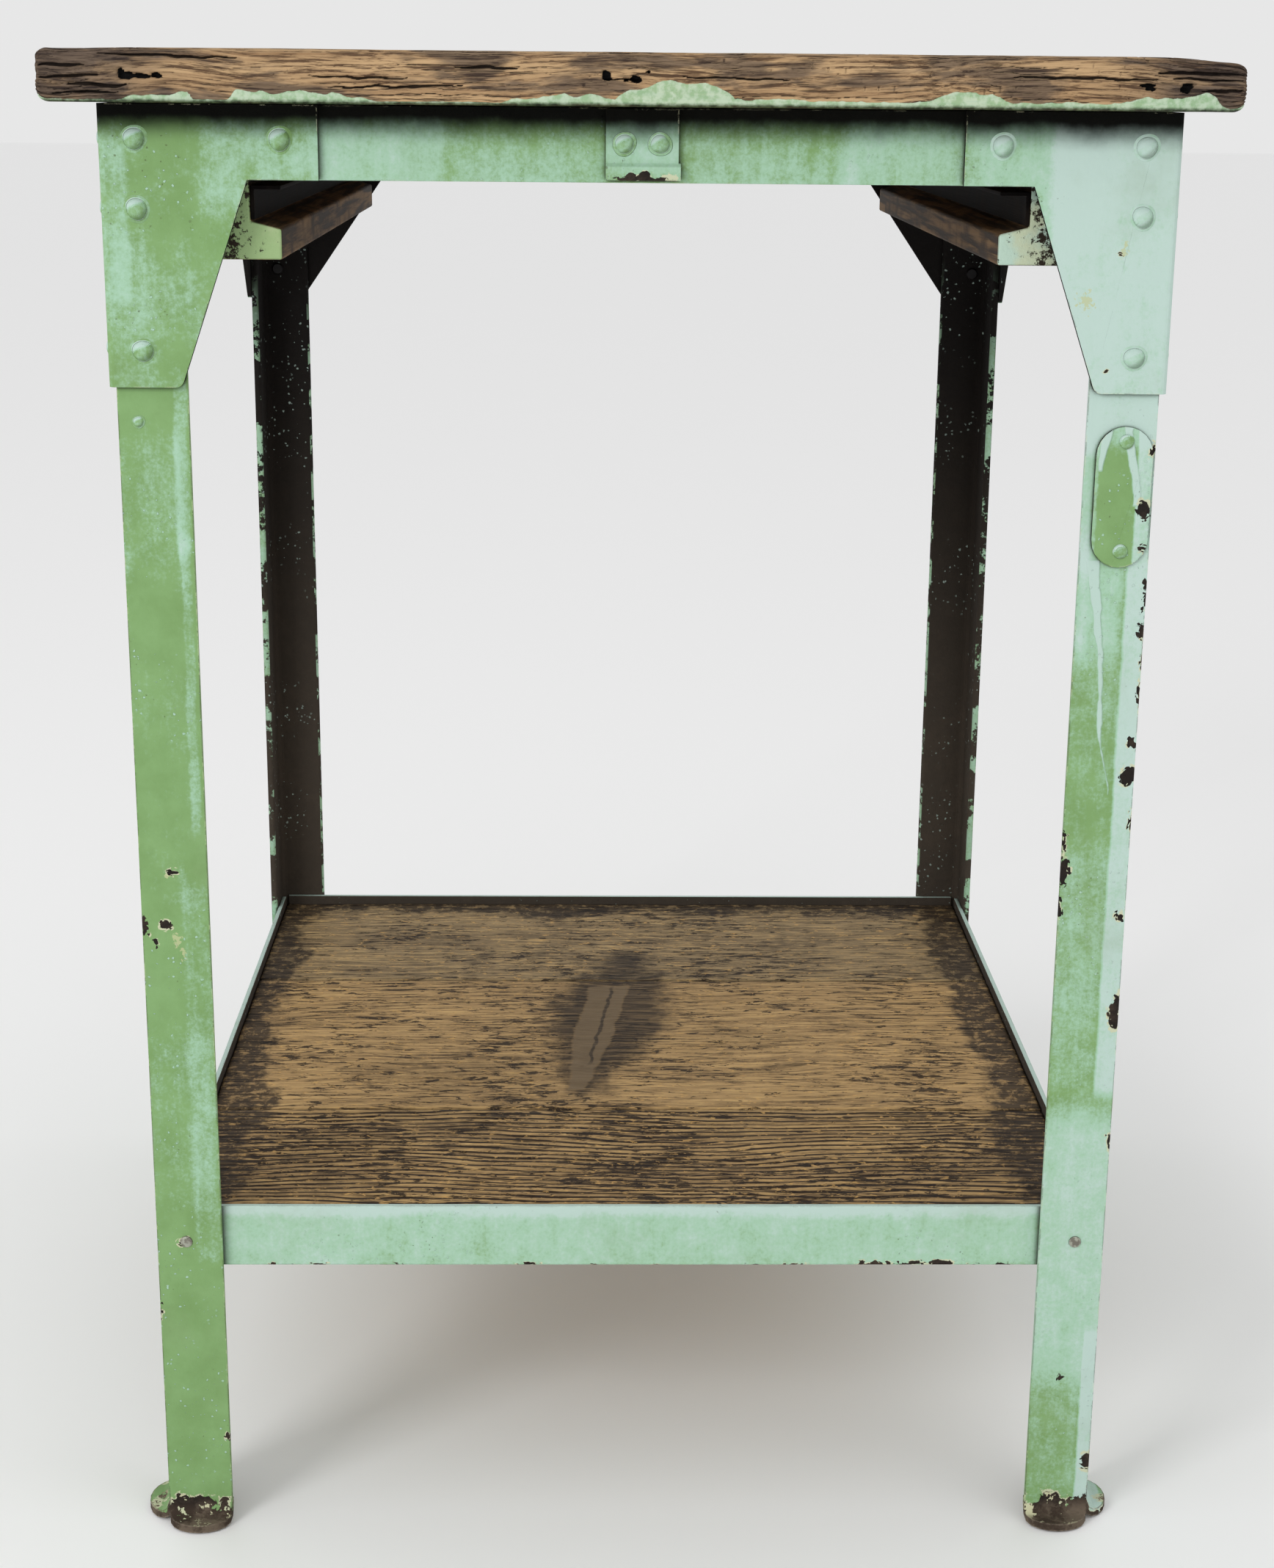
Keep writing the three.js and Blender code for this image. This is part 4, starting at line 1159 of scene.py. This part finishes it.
def plate_heads(green_heads, pale_heads):
    """The eight heads on each corner plate: four over the CAD rivets and four through its side arm."""
    for end_name, end in (("front", FRONT), ("rear", REAR)):
        for side_name, side in (("left", LEFT), ("right", RIGHT)):
            corner = f"{end_name}_{side_name}"
            plate_low, plate_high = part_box(f"corner_plate_{corner}")
            face_y = plate_low.y if end == FRONT else plate_high.y
            face_x = plate_low.x if side == LEFT else plate_high.x
            places = []
            for number in range(1, 5):
                low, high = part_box(f"corner_rivet_{corner}_{number}")
                middle = (low + high) / 2
                radius = (high.x - low.x) / 2
                rise = max(abs(low.y), abs(high.y)) - abs(face_y)
                from_corner = HALF_WIDTH - abs(middle.x)
                places.append((Vector((middle.x, face_y, middle.z)), Vector((0, end, 0))))
                beside = Vector((face_x, end * (HALF_DEPTH - from_corner), middle.z))
                places.append((beside, Vector((side, 0, 0))))
            material = pale_heads if corner == "front_right" else green_heads
            head_skins(f"rivet_heads_{corner}", places, radius + 0.1 * MM, rise + 0.1 * MM, material)


def small_heads(green_heads):
    """Paint over the bracket's, the tag's and the leg's smaller rivets."""
    for name, nodes in (
        ("bracket_rivet_heads", ("bracket_rivet_left", "bracket_rivet_right")),
        ("tag_rivet_heads", ("tag_rivet_1", "tag_rivet_2")),
        ("leg_rivet_head", ("leg_rivet_front_left",)),
    ):
        places = []
        for node in nodes:
            low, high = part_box(node)
            middle = (low + high) / 2
            radius = (high.x - low.x) / 2
            rise = 0.52 * radius
            places.append((Vector((middle.x, low.y + rise, middle.z)), Vector((0, FRONT, 0))))
        head_skins(name, places, radius + 0.1 * MM, rise + 0.1 * MM, green_heads)


# ---------------------------------------------------------------- floor, light and camera


def pale_floor():
    graph = Graph("studio_floor")
    tone = graph.noise(3.0, 2.0)
    colour = graph.blend(graph.product(tone, 0.1), srgb(250, 250, 250), srgb(244, 244, 244))
    graph.finish(colour, 0.9, None, 0.0)
    mesh = bpy.data.meshes.new("floor")
    half = 30.0
    corners = [(-half, -half, -MM), (half, -half, -MM), (half, half, -MM), (-half, half, -MM)]
    mesh.from_pydata(corners, [], [(0, 1, 2, 3)])
    mesh.materials.append(graph.material)
    floor = bpy.data.objects.new("floor", mesh)
    bpy.context.scene.collection.objects.link(floor)


def soft_light(name, place, aim, size, power):
    data = bpy.data.lights.new(name, "AREA")
    data.shape = "SQUARE"
    data.size = size
    data.energy = power
    light = bpy.data.objects.new(name, data)
    light.location = place
    light.rotation_euler = (Vector(aim) - Vector(place)).to_track_quat("-Z", "Y").to_euler()
    bpy.context.scene.collection.objects.link(light)


def studio():
    pale_floor()
    world = bpy.data.worlds.new("studio")
    world.use_nodes = True
    background = world.node_tree.nodes["Background"]
    background.inputs["Color"].default_value = (1.0, 1.0, 1.0, 1.0)
    background.inputs["Strength"].default_value = 0.8
    bpy.context.scene.world = world
    bpy.context.scene.view_settings.view_transform = "Standard"
    soft_light("key", (-2.4, -2.9, 2.2), (0, 0, 0.5), 1.3, 49)
    soft_light("fill", (2.2, -2.2, 1.4), (0, 0, 0.5), 1.8, 5)


# The camera that took the photograph, in metres and degrees, found from the frame's straight edges.
CAMERA_PLACE = (-0.0269, -1.6352, 0.8472)
CAMERA_YAW = 1.1654
CAMERA_PITCH = 15.8566
CAMERA_ROLL = 0.534
CAMERA_LENS = 57.17


def place_camera():
    yaw, pitch, roll = (math.radians(angle) for angle in (CAMERA_YAW, CAMERA_PITCH, CAMERA_ROLL))
    level = Matrix.Rotation(-yaw, 3, "Z") @ Matrix.Rotation(math.pi / 2 - pitch, 3, "X")
    data = bpy.data.cameras.new("camera")
    data.lens = CAMERA_LENS
    data.sensor_width = 36.0
    data.clip_end = 100.0
    camera = bpy.data.objects.new("camera", data)
    camera.matrix_world = Matrix.Translation(CAMERA_PLACE) @ (level @ Matrix.Rotation(roll, 3, "Z")).to_4x4()
    bpy.context.scene.collection.objects.link(camera)
    bpy.context.scene.camera = camera


place_camera()
studio()
green_paint, pale_paint = dress_steel()
plate_heads(green_paint, pale_paint)
small_heads(green_paint)
lay_boards()
fit_drawer_bay()
